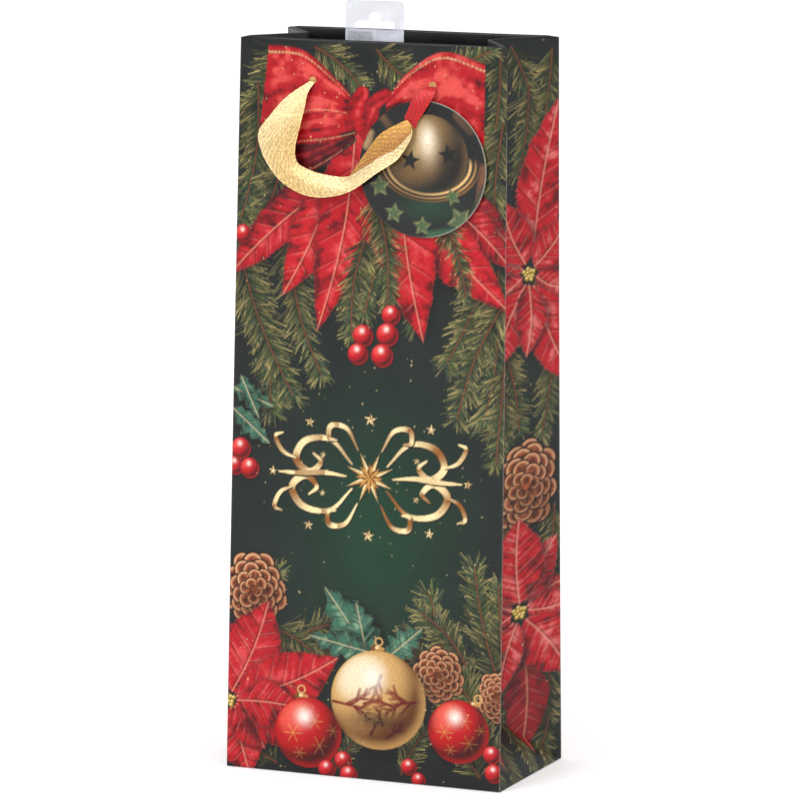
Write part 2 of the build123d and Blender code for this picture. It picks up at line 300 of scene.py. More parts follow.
def cone(sheet, cx, cy, rx, ry, seed=0):
    """A pine cone seen from its end: scales on a spiral, each a pale-rimmed cup with a dark gap."""
    rng = np.random.default_rng(seed)
    got = sheet.window(cx, cy, rx * 1.2, ry * 1.2)
    if got is None:
        return
    where, x, y = got
    d = np.hypot((x - cx) / rx, (y - cy) / ry)
    sheet.lay(where, srgb(20, 9, 7), smooth(1.1, 0.85, d) * 0.95)
    total = 36
    turn = rng.random() * 6.28
    for k in reversed(range(total)):
        ring = math.sqrt((k + 0.6) / total)
        a = turn + 2.39996 * k + rng.uniform(-0.12, 0.12)
        px = cx + math.cos(a) * rx * ring * 0.86
        py = cy + math.sin(a) * ry * ring * 0.86
        size = (0.15 + 0.15 * ring) * (rx + ry) / 2 * rng.uniform(0.9, 1.1)
        got = sheet.window(px, py, size * 1.5)
        if got is None:
            continue
        where, x, y = got
        out_x, out_y = math.cos(a), math.sin(a)
        u = ((x - px) * out_x + (y - py) * out_y) / size
        w = (-(x - px) * out_y + (y - py) * out_x) / size
        reach = np.hypot(np.where(u > 0, u * 1.05, u * 0.7), w * (1.0 + 0.25 * (u < 0)))
        gap = np.clip((1.22 - reach) * size / EDGE, 0, 1)
        sheet.lay(where, srgb(14, 5, 3), gap * 0.95)
        cover = np.clip((1 - reach) * size / EDGE + 0.5, 0, 1)
        lit = 0.5 + 0.45 * (-0.5 * out_x + 0.75 * out_y) + rng.uniform(-0.15, 0.15)
        hollow = smooth(0.75, 0.1, np.hypot(u - 0.05, w))
        colour = mix(srgb(140, 66, 32) * (0.45 + 0.8 * lit), srgb(48, 18, 10), hollow * 0.9)
        streak = noise(w * size, u * size * 0.3, 0.5, seed + k) - 0.5
        colour = mix(colour, srgb(190, 112, 68), smooth(0.05, 0.4, streak) * 0.5)
        rim = np.exp(-((reach - 0.86) / 0.13) ** 2) * smooth(-0.7, 0.3, u)
        colour = mix(colour, srgb(226, 176, 132), rim * (0.3 + 0.6 * lit))
        sheet.lay(where, colour, cover)


def fan(sheet, edge_a, edge_b, dark, mid, light, seed=0, gloom=0.0, stitch=(True, True)):
    """A gathered satin sheet between two edge lines that both run outwards from a knot."""
    t = np.linspace(0, 1, 420)
    across = np.linspace(0, 1, 360)
    a, b = catmull(edge_a, t), catmull(edge_b, t)
    line = a[:, None] * (1 - across[None, :, None]) + b[:, None] * across[None, :, None]
    tt, ss = np.meshgrid(t, across, indexing="ij")
    folds = noise(ss * 9 + 3, tt * 2.2 + 5, 1.0, seed) - 0.5
    fine = noise(ss * 26, tt * 5, 1.0, seed + 1) - 0.5
    mottle = noise(line[..., 0], line[..., 1], 3.4, seed + 2) - 0.5
    grain = noise(line[..., 0], line[..., 1], 1.1, seed + 6) - 0.5
    shade = 0.42 - gloom + 0.75 * folds * (1.15 - 0.7 * tt) + 0.2 * fine + 0.5 * mottle + 0.2 * grain
    shade = shade + 0.16 * np.sin(tt * 3.1) + 0.10 * np.exp(-((ss - 0.3) / 0.2) ** 2)
    shade = shade - 0.35 * smooth(0.25, 0.0, tt) - 0.2 * smooth(0.9, 1.0, tt)
    colour = mix(dark, mid, smooth(0.02, 0.45, shade))
    colour = mix(colour, light, smooth(0.5, 0.9, shade) * 0.8)
    dust = np.random.default_rng(seed + 7).random(tt.shape) > 0.9985
    for on, place in zip(stitch, (ss, 1 - ss)):
        if on:
            line_at = np.exp(-((place - 0.075) / 0.012) ** 2)
            dash = 0.35 + 0.65 * (np.sin(tt * 190) > -0.2)
            colour = mix(colour, GOLD_LIGHT * 0.75, line_at * dash * 0.7)
            colour = mix(colour, dark * 0.5, smooth(0.03, 0.0, place) * 0.6)
    colour = mix(colour, GOLD_LIGHT, dust * 0.8)
    i = np.rint((line[..., 0] - sheet.x0) / sheet.step).astype(int)
    j = np.rint((line[..., 1] - sheet.y0) / sheet.step).astype(int)
    keep = (i >= 0) & (i < sheet.nx) & (j >= 0) & (j < sheet.ny)
    sheet.rgb[j[keep], i[keep]] = colour[keep]


def flower(sheet, cx, cy, petals, seed, **tones):
    """Red leaves given as (angle, length, half width, start, bend) round a heart of gold beads."""
    for k, (angle, length, half, start, bend) in enumerate(petals):
        a = math.radians(angle)
        leaf(sheet, cx + math.cos(a) * start, cy + math.sin(a) * start, cx + math.cos(a) * length,
             cy + math.sin(a) * length, half, seed + k, bend, **tones)
    for k in range(11):
        a = k * BEAD_TURN
        r = 0.75 * math.sqrt(k)
        ball(sheet, cx + math.cos(a) * r * 1.3, cy + math.sin(a) * r * 1.3, 1.05, srgb(110, 96, 20),
             srgb(210, 170, 60), srgb(255, 240, 160), shadow=0.3)


def band(sheet, points, widths, dark, mid, light, fold=0.0, stitch=True, seed=0):
    """A painted satin band that follows points, lit across its width and along its folds."""
    points = np.array(points, float)
    widths = np.array(widths, float)
    t = np.linspace(0, 1, len(points))
    fine = np.linspace(0, 1, 90)
    path = catmull(points, fine)
    width = np.interp(fine, t, widths)
    lo, hi = path.min(0) - width.max(), path.max(0) + width.max()
    centre, reach = (lo + hi) / 2, (hi - lo) / 2 + 1
    win = sheet.window(centre[0], centre[1], reach[0], reach[1])
    if win is None:
        return
    where, x, y = win
    best = np.full(x.shape, 1e9)
    along, across, local = np.zeros(x.shape), np.zeros(x.shape), np.ones(x.shape)
    for k in range(len(fine) - 1):
        ax, ay = path[k]
        dx, dy = path[k + 1] - path[k]
        q = np.clip(((x - ax) * dx + (y - ay) * dy) / (dx * dx + dy * dy + 1e-9), 0, 1)
        ex, ey = x - ax - q * dx, y - ay - q * dy
        d = np.hypot(ex, ey)
        near = d < best
        sign = np.sign(dx * ey - dy * ex)
        best = np.where(near, d, best)
        along = np.where(near, fine[k] + q * (fine[k + 1] - fine[k]), along)
        across = np.where(near, sign * d, across)
        local = np.where(near, width[k] / 2, local)
    s = across / local
    cover = np.clip((local - best) / EDGE + 0.5, 0, 1)
    waves = 0.5 + 0.5 * np.sin(s * 5.0 + along * 9.0 + seed)
    grain = noise(along * 60, s * local, 4.0, seed + 11)
    shade = 0.30 + 0.42 * np.cos(s * 1.35 - 0.35) * waves + 0.25 * (grain - 0.5) + fold * (s - 0.2)
    colour = mix(dark, mid, smooth(0.05, 0.5, shade))
    colour = mix(colour, light, smooth(0.52, 0.85, shade) * 0.75)
    colour = mix(colour, dark * 0.6, smooth(0.86, 1.0, np.abs(s)) * 0.7)
    if stitch:
        line = np.exp(-((np.abs(s) - 0.86) * local / 0.34) ** 2)
        dash = smooth(0.25, 0.4, np.abs((along * len(fine) * 1.1) % 1 - 0.5) * 2)
        colour = mix(colour, GOLD_LIGHT * 0.8, line * (0.35 + 0.5 * dash))
    sheet.lay(where, colour, cover)


def catmull(points, t):
    """Points on a Catmull-Rom curve through the given points, for t from 0 to 1."""
    points = np.asarray(points, float)
    n = len(points) - 1
    ends = np.vstack([2 * points[0] - points[1], points, 2 * points[-1] - points[-2]])
    f = np.clip(np.asarray(t) * n, 0, n - 1e-9)
    i = f.astype(int)
    u = (f - i)[:, None]
    p0, p1, p2, p3 = ends[i], ends[i + 1], ends[i + 2], ends[i + 3]
    return 0.5 * (2 * p1 + (p2 - p0) * u + (2 * p0 - 5 * p1 + 4 * p2 - p3) * u ** 2
                  + (3 * p1 - p0 - 3 * p2 + p3) * u ** 3)


def specks(sheet, x0, x1, y0, y1, count, seed):
    """Scattered gold dust."""
    rng = np.random.default_rng(seed)
    for _ in range(count):
        x, y = rng.uniform(x0, x1), rng.uniform(y0, y1)
        size = rng.uniform(0.3, 0.8)
        stroke(sheet, x, y, x + 0.1, y, size, GOLD_LIGHT, GOLD, rng.uniform(0.25, 0.9))


def star(sheet, cx, cy, radius, inner, points, turn, dark, light):
    """A faceted star with the given number of points."""
    got = sheet.window(cx, cy, radius + 1)
    if got is None:
        return
    where, x, y = got
    a = (np.arctan2(y - cy, x - cx) - turn) % (2 * math.pi / points)
    half = math.pi / points
    side = a > half
    a = np.abs(a - half)
    r = np.hypot(x - cx, y - cy)
    px, py = r * np.cos(a), r * np.sin(a)
    ix, iy = inner, 0.0
    ox, oy = radius * math.cos(half), radius * math.sin(half)
    nx, ny = oy - iy, -(ox - ix)
    norm = math.hypot(nx, ny)
    d = ((px - ix) * nx + (py - iy) * ny) / norm
    cover = np.clip(-d / EDGE + 0.5, 0, 1)
    colour = np.where(side[..., None], light, dark)
    sheet.lay(where, colour, cover)


def flourish(sheet, points, width):
    """A gilded line that swells in its middle, over its own dark shadow."""
    path = catmull(points, np.linspace(0, 1, 44))
    for shadow in (True, False):
        for k in range(len(path) - 1):
            t = k / (len(path) - 2)
            size = width * (0.30 + 0.9 * math.sin(math.pi * t)) * 1.35
            p, q = path[k], path[k + 1]
            if shadow:
                ink = srgb(6, 9, 6)
                stroke(sheet, *(p + (0.4, -0.5)), *(q + (0.4, -0.5)), size * 1.25, ink, ink, 0.8, 0)
            else:
                dx, dy = q - p
                tone = mix(GOLD_DARK * 1.4, GOLD_LIGHT,
                           0.5 + 0.5 * math.sin(2.4 * math.atan2(dy, dx) + 0.7))
                stroke(sheet, *p, *q, size, tone, tone, 1.0, 0)


# ---------------------------------------------------------------------------------------------
# The printed artwork: a plain winter botanical design
# ---------------------------------------------------------------------------------------------
STEP = 0.45
NIGHT = srgb(21, 24, 25)
HOLLOW_GREEN = srgb(10, 58, 36)


def ground(sheet, cx, cy, rx, ry, strength):
    """The dark ground with a soft green glow."""
    where, x, y = sheet.window(0, 180, 400, 400)
    d = np.hypot((x - cx) / rx, (y - cy) / ry)
    glow = np.exp(-d * d * 1.6) * strength
    haze = noise(x, y, 14, 5) * 0.5 + noise(x, y, 5, 9) * 0.25
    sheet.lay(where, HOLLOW_GREEN, glow * (0.75 + 0.35 * haze))
    sheet.lay(where, srgb(46, 56, 48), haze * 0.22)


def twig_pattern(nx, ny):
    """Bare winter twigs round a bauble."""
    lines = np.zeros(nx.shape)
    for x0, y0, angle, length in (
        (-0.95, -0.1, -8, 0.8), (-0.6, -0.15, 35, 0.5), (-0.45, -0.18, -40, 0.45),
        (-0.3, -0.1, 20, 0.4), (0.95, 0.05, 190, 0.75), (0.6, 0.0, 150, 0.45),
        (0.5, -0.02, 215, 0.5), (0.3, -0.1, 165, 0.4), (-0.15, -0.7, 60, 0.5),
        (0.1, -0.5, 110, 0.4), (0.2, -0.75, 40, 0.45), (0.05, 0.5, 250, 0.4),
    ):
        a = math.radians(angle)
        dx, dy = math.cos(a) * length, math.sin(a) * length
        for turn, part, grow in ((0, 0.0, 1.0), (0.7, 0.35, 0.5), (-0.7, 0.55, 0.45), (0.6, 0.75, 0.3)):
            ca, sa = math.cos(turn), math.sin(turn)
            ex, ey = (dx * ca - dy * sa) * grow, (dx * sa + dy * ca) * grow
            sx, sy = x0 + dx * part, y0 + dy * part
            t = np.clip(((nx - sx) * ex + (ny - sy) * ey) / (ex * ex + ey * ey), 0, 1)
            d = np.hypot(nx - sx - t * ex, ny - sy - t * ey)
            lines = np.maximum(lines, smooth(0.045, 0.018, d) * (1 - 0.4 * t))
    shade = np.exp(-((ny + 0.42) ** 2 / 0.05 + (nx + 0.05) ** 2 / 0.5))
    return mix(srgb(120, 20, 20) * np.ones(nx.shape + (3,)), srgb(40, 14, 8), shade), \
        np.maximum(lines, shade * 0.75)


def flake_pattern(nx, ny):
    """Small six-armed gilded flakes scattered on a red bauble."""
    cover = np.zeros(nx.shape)
    for cx, cy, size in ((-0.45, -0.05, 0.30), (0.2, 0.35, 0.26), (0.35, -0.35, 0.30),
                         (-0.25, -0.6, 0.2), (-0.2, 0.62, 0.18), (0.75, 0.1, 0.2)):
        dx, dy = nx - cx, ny - cy
        r, a = np.hypot(dx, dy), np.arctan2(dy, dx)
        arm = np.abs(np.sin(3 * a)) * r
        barb = np.abs(r - size * 0.6) + np.abs(np.sin(3 * a)) * 0.12
        cover = np.maximum(cover, smooth(0.045, 0.02, arm) * (r < size))
        cover = np.maximum(cover, smooth(0.05, 0.025, barb) * (r < size))
    return GOLD * np.ones(nx.shape + (3,)), cover * 0.6


def bauble(sheet, cx, cy, r, kind, cap_angle=90):
    a = math.radians(cap_angle)
    px, py = cx + math.cos(a) * r * 1.04, cy + math.sin(a) * r * 1.04
    stroke(sheet, px - 2.2, py, px + 2.2, py, 3.6, GOLD_DARK, GOLD)
    stroke(sheet, px - 1.0, py + 0.4, px + 0.6, py + 0.4, 1.6, GOLD_LIGHT, GOLD)
    for k in range(12):
        b, c = k * math.pi / 6, (k + 1) * math.pi / 6
        qx, qy = px + math.cos(a) * 3.4, py + math.sin(a) * 3.4
        stroke(sheet, qx + 1.9 * math.cos(b), qy + 1.9 * math.sin(b), qx + 1.9 * math.cos(c),
               qy + 1.9 * math.sin(c), 0.8, GOLD, GOLD_LIGHT)
    if kind == "gold":
        ball(sheet, cx, cy, r, srgb(96, 54, 22), srgb(206, 162, 98), srgb(252, 238, 205),
             twig_pattern, spot=0.75)
    else:
        ball(sheet, cx, cy, r, srgb(66, 4, 6), srgb(186, 16, 20), srgb(240, 96, 78),
             flake_pattern, spot=0.9)


def ornament(sheet, cx, cy):
    """A gilded flourish with stars, drawn as two mirrored scrolls round a middle star."""
    for side in (-1, 1):
        def arc(*points, width=1.3):
            flourish(sheet, [(cx + side * x, cy + y) for x, y in points], width)
        arc((9, 6), (20, 17), (33, 16), (38, 7), (31, 1), (25, 6), (29, 10), width=2.1)
        arc((9, -6), (20, -17), (34, -16), (40, -7), (33, -1), (27, -6), (31, -10), width=2.1)
        arc((12, 0), (24, 1), (36, 0), (47, 0), width=1.5)
        arc((6, 13), (12, 23), (20, 24), (21, 18), (17, 17), width=1.5)
        arc((6, -13), (12, -23), (20, -24), (21, -18), (17, -17), width=1.5)
        arc((38, 7), (45, 10), (49, 17), (45, 19), width=1.2)
        arc((40, -7), (46, -10), (49, -17), (45, -19), width=1.2)
        for x, y, r in ((31, 25, 2.4), (31, -25, 2.4), (50, 0, 2.2), (24, -9, 1.6), (24, 9.5, 1.6)):
            star(sheet, cx + side * x, cy + y, r, r * 0.42, 5, 0.3, GOLD_DARK, GOLD_LIGHT)
    star(sheet, cx + 0.4, cy - 0.5, 13.4, 4.0, 8, math.pi / 8, srgb(8, 10, 8), srgb(8, 10, 8))
    star(sheet, cx, cy, 12.4, 3.4, 8, math.pi / 8, GOLD * 0.75, GOLD_LIGHT * 0.9)
    star(sheet, cx, cy, 7.0, 3.2, 8, 0.0, GOLD_DARK, GOLD)
    star(sheet, cx, cy + 28, 3.2, 1.3, 5, 0.3, GOLD_DARK, GOLD_LIGHT)
    star(sheet, cx, cy - 28, 3.2, 1.3, 5, 0.3, GOLD_DARK, GOLD_LIGHT)


def paint_wall():
    """The front and back artwork, with x from -70 to 70 and y up from the base."""
    sheet = Sheet(-HALF_WIDTH, HALF_WIDTH, 0, PANEL, STEP, NIGHT)
    ground(sheet, 6, 122, 50, 74, 1.0)
    # Needles behind everything
    for x0, y0, x1, y1, reach, bend in (
        (-48, 352, -69, 318, 17, 3), (-60, 334, -68, 268, 19, 4), (-44, 300, -68, 246, 16, 2),
        (-30, 352, -6, 334, 14, 2), (2, 352, 28, 336, 15, -3), (20, 330, 62, 354, 13, 2),
        (66, 350, 60, 300, 14, 2), (68, 320, 64, 262, 16, -2),
        (-4, 300, -12, 232, 17, -4), (6, 292, -2, 226, 15, 3), (14, 280, 24, 222, 14, 2),
        (-40, 262, -24, 196, 17, -5), (-66, 246, -50, 176, 19, 5), (-70, 262, -38, 184, 18, -4),
        (60, 262, 40, 204, 17, 4), (66, 250, 60, 178, 19, 3), (70, 236, 46, 178, 16, -3),
        (70, 205, 66, 158, 14, 0),
        (-68, 84, -44, 98, 12, 2), (-34, 66, -8, 74, 13, 3), (-46, 70, -22, 56, 14, 2),
        (66, 30, 34, 92, 18, 6), (69, 52, 56, 108, 17, 2), (52, 60, 28, 84, 14, -3),
        (70, 66, 68, 100, 12, 0), (30, 58, 20, 74, 10, 0), (60, 6, 40, 44, 13, 2),
        (-30, 40, -18, 62, 12, 0), (-44, 4, -60, 18, 12, 2), (20, 4, 32, 26, 11, 1),
        (-14, 2, -4, 18, 10, 1), (68, 14, 56, 40, 12, 0),
    ):
        pine(sheet, x0, y0, x1, y1, reach, int(x0 * 31 + y0 * 17 + 9000), bend)
    # Leaves behind the bow
    deep = dict(mid=srgb(132, 16, 26), dark=srgb(58, 6, 12), light=srgb(196, 56, 60))
    leaf(sheet, 42, 286, 72, 262, 8, 14, 2, **deep)
    leaf(sheet, -26, 292, -64, 258, 10, 11, 2, **deep)
    leaf(sheet, -22, 286, -74, 240, 11, 12, -2, mid=srgb(176, 20, 32))
    leaf(sheet, -18, 296, -45, 232, 13, 13, 3, mid=srgb(190, 24, 34))
    leaf(sheet, 34, 284, 74, 250, 9, 25, 2, mid=srgb(160, 18, 30))
    leaf(sheet, 22, 284, 73, 230, 13.5, 15, -3)
    leaf(sheet, 15, 304, 28.5, 214, 17, 17, -3)
    leaf(sheet, -8, 316, -26.5, 216, 15.5, 18, 4)
    pine(sheet, 2, 282, 10, 232, 15, 901, 3)
    pine(sheet, -2, 262, -8, 214, 14, 902, -3)
    pine(sheet, 36, 276, 50, 236, 11, 903, 2)
    # The bow
    red = (srgb(70, 2, 8), srgb(172, 14, 26), srgb(226, 84, 78))
    fan(sheet, [(-9, 313), (-24, 308), (-40, 303), (-50, 301)],
        [(-8, 308), (-20, 299), (-34, 291), (-46, 288)], srgb(30, 2, 6), srgb(92, 8, 18),
        srgb(170, 40, 44), seed=8, gloom=0.12, stitch=(False, True))
    fan(sheet, [(-8, 324), (-24, 326), (-42, 320), (-58, 306)],
        [(-8, 311), (-22, 307), (-40, 305), (-58.5, 303)], *red, seed=2, gloom=0.10)
    fan(sheet, [(-8, 327), (-20, 338), (-36, 350), (-54, 352)],
        [(-9, 320), (-26, 321), (-42, 317), (-58.5, 308)], *red, seed=4, gloom=-0.06)
    fan(sheet, [(6, 322), (20, 322), (34, 314), (46, 309)],
        [(6, 316), (18, 312), (34, 306), (52, 300)], srgb(30, 2, 6), srgb(110, 8, 18),
        srgb(180, 40, 44), seed=9, gloom=0.1, stitch=(False, True))
    fan(sheet, [(7, 328), (19, 342), (36, 352), (58, 347)],
        [(8, 322), (26, 324), (42, 315), (57.5, 304)], *red, seed=5, gloom=-0.06)
    band(sheet, [(-5, 331), (-7, 324), (-4, 316), (-2, 311)], [7, 12, 12, 6], *red,
         stitch=False, seed=5)
    band(sheet, [(7, 331), (1, 326), (0, 320), (-1, 313)], [6, 8, 7, 4], *red, stitch=False, seed=9)
    # Middle
    holly(sheet, -70, 186, -48, 178, 6, 21)
    holly(sheet, -70, 176, -50, 160, 6.5, 22)
    holly(sheet, -66, 192, -56, 172, 5, 23)
    for x, y, r in ((11.9, 225.9, 4.8), (-2.4, 215.2, 5.3), (10.2, 216.5, 5.6), (-4.9, 206.3, 5.2),
                    (7.6, 206.2, 5.6), (-66.2, 260.8, 4.4), (-68.2, 148.2, 4.8),
                    (-65.3, 156.6, 5.2), (-60.4, 147.3, 5.0)):
        berry(sheet, x, y, r)
    ornament(sheet, 2, 147)
    specks(sheet, -60, 62, 100, 206, 90, 31)
    specks(sheet, -66, 66, 206, 350, 70, 32)
    # Bottom
    cone(sheet, -57, 88, 15.5, 17.5, 41)
    holly(sheet, 6, 58, -20, 92, 13, 42)
    holly(sheet, 2, 60, -4, 86, 9, 43)
    holly(sheet, 4, 62, -28, 68, 8, 44)
    holly(sheet, 12, 60, 30, 76, 8.5, 45)
    cone(sheet, 38, 54, 13, 12.5, 46)
    cone(sheet, 68, 46, 9, 12, 47)
    flower(sheet, -69.5, 33, (
        (150, 30, 9, 4, 0), (100, 46, 14, 4, 1), (-72, 38, 14, 4, 0), (-50, 30, 11, 4, 2),
        (42, 38, 12, 4, 1), (68, 54, 17, 4, -2), (-26, 50, 13, 4, 3), (24, 62, 16, 4, -3),
        (-2, 38, 12, 4, 1)), 51)
    bauble(sheet, -28, 20.2, 17.2, "red", 100)
    bauble(sheet, 48.8, 27.3, 15.4, "red", 60)
    bauble(sheet, 7.9, 39.2, 24.2, "gold")
    for x, y, r in ((-18, 3.2, 4.4), (-9.8, 8.2, 4.4), (-6.7, 1.5, 4.4), (65.8, 17.5, 4.4),
                    (67, 8.6, 4.6), (24, 8, 4), (29, 2, 3.6)):
        berry(sheet, x, y, r)
    specks(sheet, -66, 68, 0, 110, 60, 33)
    rim = HALF_WIDTH - 0.55
    where, x, y = sheet.window(0, 180, 400, 400)
    sheet.lay(where, srgb(176, 160, 150), smooth(rim, rim + 0.5, np.abs(x)) * 0.3)
    return sheet


def paint_gusset():
    """The gusset's artwork, with x from 0 at the front fold to 80 at the back fold."""
    sheet = Sheet(0, GUSSET, 0, PANEL, STEP, NIGHT)
    ground(sheet, 40, 140, 50, 200, 0.25)
    for x in (20, 62):
        for x0, y0, x1, y1, reach in (
            (x - 10, 352, x + 6, 312, 15), (x + 14, 350, x + 4, 300, 15), (x, 330, x - 6, 292, 14),
            (x - 14, 214, x - 4, 168, 13), (x + 14, 220, x + 8, 164, 14),
            (x - 12, 190, x - 16, 150, 12),
            (x - 15, 130, x - 6, 100, 12), (x + 15, 128, x + 8, 96, 12), (x - 12, 62, x - 2, 18, 14),
            (x + 13, 60, x + 6, 10, 15), (x - 6, 40, x - 14, 4, 13), (x + 12, 24, x + 2, 0, 12),
        ):
            pine(sheet, x0, y0, x1, y1, reach, int(x0 * 13 + y0 * 7 + 500), 2)
    # Paler highlights on the gusset's flowers: a painted gloss haze.
    haze = dict(light=srgb(246, 142, 138))
    deep = dict(mid=srgb(140, 14, 24), dark=srgb(66, 4, 10), light=srgb(196, 60, 60))
    upper = ((150, 26, 10, 4), (28, 24, 10, 4), (-24, 24, 9, 4), (-158, 26, 9, 4),
             (-112, 48, 12, 5), (78, 86, 15, 8), (-66, 64, 13.5, 6), (112, 40, 12, 5),
             (48, 34, 11, 4), (-92, 40, 9, 5))
    lower = ((158, 26, 9, 4), (22, 26, 10, 4), (-4, 27, 10, 4), (-168, 24, 9, 4),
             (-124, 54, 13, 5), (-56, 46, 14, 5), (-104, 40, 9, 5), (60, 38, 10, 5),
             (118, 36, 10, 5), (91, 46, 15.5, 4))
    for x, seed in ((62.8, 61), (20.0, 62)):
        petals = [(*petal, -2.0 if k % 2 == 0 else 2.0) for k, petal in enumerate(upper)]
        flower(sheet, x, 243, petals, seed * 7, **haze)
    for x, seed in ((61.8, 71), (18.0, 72)):
        cone(sheet, x, 141, 15.5, 21, seed)
    for x, seed in ((59.2, 81), (21.0, 82)):
        leaf(sheet, x + 3, 56, x + 1, 8, 11, seed + 5, bend=2, **deep)
        leaf(sheet, x - 12, 118, x - 14, 84, 9, seed + 6, **deep)
        petals = [(*petal, -1.5 if k % 2 == 0 else 1.5) for k, petal in enumerate(lower)]
        flower(sheet, x, 80, petals, seed * 7, **haze)
    specks(sheet, 0, GUSSET, 0, PANEL, 90, 34)
    where, x, _ = sheet.window(40, 180, 400, 400)
    sheet.lay(where, srgb(176, 160, 150), smooth(0.55, 0.1, np.minimum(x, GUSSET - x)) * 0.3)
    return sheet


def paint_tag():
    """The round tag's artwork: a jingle bell with cut stars over dark greenery."""
    r = TAG_RADIUS
    sheet = Sheet(-r, r, -r, r, 0.3, srgb(8, 9, 9))
    where, x, y = sheet.window(0, 0, r)
    sheet.lay(where, srgb(12, 46, 30), np.exp(-((x - 3) ** 2 / 160 + (y + 17) ** 2 / 60)) * 0.9)
    sheet.lay(where, srgb(16, 34, 26), np.exp(-((x + 20) ** 2 / 120 + (y - 4) ** 2 / 200)) * 0.6)
    for x0, y0, x1, y1, tone in (
            (29, -16, 31, 2, srgb(138, 84, 56)), (26, -22, 31, -8, srgb(40, 58, 40)),
            (-29, 10, -27, 16, srgb(186, 150, 104)), (-22, 25, -15, 17, srgb(104, 74, 46)),
            (4, -31, 18, -28, srgb(52, 96, 66)), (17, 26, 24, 19, srgb(96, 66, 44))):
        stroke(sheet, x0, y0, x1, y1, 4.5, tone, tone * 0.6, 0.45, 0)
        stroke(sheet, x0, y0, x1, y1, 2.4, tone, tone * 0.8, 0.6, 0)
    ball(sheet, 2.5, 5.5, 20.5, srgb(14, 10, 6), srgb(118, 88, 46), srgb(196, 164, 112), spot=0.0,
         shadow=0.9)
    where, x, y = sheet.window(0, 0, r)
    dome = smooth(20.8, 20.0, np.hypot(x - 2.5, y - 5.5))
    around = np.hypot((x - 3) / 22.5, (y - 3) / 15.5)
    below = smooth(1.0, 1.06, around) * (y < 3)
    sheet.lay(where, srgb(238, 216, 184),
              np.exp(-((x - 3) ** 2 / 22 + (y - 12) ** 2 / 60)) * 0.85 * dome)
    sheet.lay(where, srgb(250, 240, 224), np.exp(-((x - 2) ** 2 / 7 + (y - 15) ** 2 / 20)) * 0.7 * dome)
    sheet.lay(where, srgb(18, 12, 6), np.exp(-((x - 14) ** 2 / 42 + (y - 4) ** 2 / 150)) * 0.75 * dome)
    sheet.lay(where, srgb(18, 12, 6), np.exp(-((x + 12) ** 2 / 30 + (y - 8) ** 2 / 120)) * 0.55 * dome)
    sheet.lay(where, srgb(9, 10, 9), below * smooth(23.5, 20, np.hypot(x - 2.5, y - 5.5)) * 0.95)
    sheet.lay(where, srgb(14, 58, 34), np.exp(-((x - 4) ** 2 / 110 + (y + 17) ** 2 / 26)) * 0.85)
    for level, half, tone in ((0.955, 0.035, srgb(214, 172, 112)), (1.02, 0.030, srgb(16, 11, 6)),
                              (1.075, 0.030, srgb(180, 134, 78)), (1.12, 0.022, srgb(10, 8, 6)),
                              (1.165, 0.022, srgb(126, 88, 46))):
        line = np.exp(-((around - level) / half) ** 4)
        lit = 0.55 + 0.45 * np.cos(np.arctan2(y - 3, x - 3) * 2 + 1.1)
        edge = smooth(7, 2, y) * smooth(-29, -20, -np.abs(x - 3))
        sheet.lay(where, tone * (0.45 + 0.75 * lit[..., None]), line * edge)
    for cx, cy, size, turn in ((-6.5, 4.0, 5.2, 0.15), (13, 7.5, 5.4, 0.5)):
        star(sheet, cx, cy, size, size * 0.42, 5, turn, srgb(6, 5, 5), srgb(6, 5, 5))
    for cx, cy, size, turn in ((0, -27, 5.0, 0.3), (19.5, -23.5, 7.2, 0.9), (-14.5, -21.5, 5.2, 0.2),
                               (15.5, -12.5, 4.4, 0.7), (-22, -9, 5.6, 0.4)):
        star(sheet, cx, cy, size, size * 0.52, 5, turn, srgb(84, 94, 56), srgb(112, 116, 74))
        star(sheet, cx, cy, size * 0.62, size * 0.32, 5, turn, srgb(58, 84, 52), srgb(78, 98, 62))
    return sheet


# ---------------------------------------------------------------------------------------------
# Meshes
# ---------------------------------------------------------------------------------------------
def new_object(name, mesh, body, slot_name, *nodes):
    piece = bpy.data.objects.new(name, mesh)
    bpy.context.scene.collection.objects.link(piece)
    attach(piece, body)
    if nodes:
        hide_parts(*nodes)
    return piece


def grid_mesh(name, points, colours=None, close_u=False):
    """A mesh of quads from a grid of points in millimetres, with an optional colour per point."""
    rows, cols = points.shape[:2]
    mesh = bpy.data.meshes.new(name)
    index = np.arange(rows * cols).reshape(rows, cols)
    if close_u:
        index = np.hstack([index, index[:, :1]])
    a, b, c, d = index[:-1, :-1], index[:-1, 1:], index[1:, 1:], index[1:, :-1]
    quads = np.stack([a, b, c, d], -1).reshape(-1, 4)
    mesh.vertices.add(rows * cols)
    mesh.vertices.foreach_set("co", (points.reshape(-1, 3) * MM).astype(np.float32).ravel())
    mesh.loops.add(quads.size)
    mesh.loops.foreach_set("vertex_index", quads.astype(np.int32).ravel())
    mesh.polygons.add(len(quads))
    mesh.polygons.foreach_set("loop_start", np.arange(0, quads.size, 4, dtype=np.int32))
    mesh.update(calc_edges=True)
    mesh.validate()
    mesh.shade_smooth()
    if colours is not None:
        layer = mesh.color_attributes.new("paint", "FLOAT_COLOR", "POINT")
        rgba = np.ones((rows * cols, 4), np.float32)
        rgba[:, :3] = colours.reshape(-1, 3)
        layer.data.foreach_set("color", rgba.ravel())
    return mesh


def mark_faces(mesh, cols, row_materials):
    """Gives each band of quads, by its row, a material index."""
    kinds = np.repeat(np.array(row_materials, np.int32), cols)
    mesh.polygons.foreach_set("material_index", kinds)


SKEW = 2.6        # the mouth gapes this much more at its right corners, and less at its left
BULGE = 1.1
SPREAD = 3.6      # how much further the lower left corner stands out


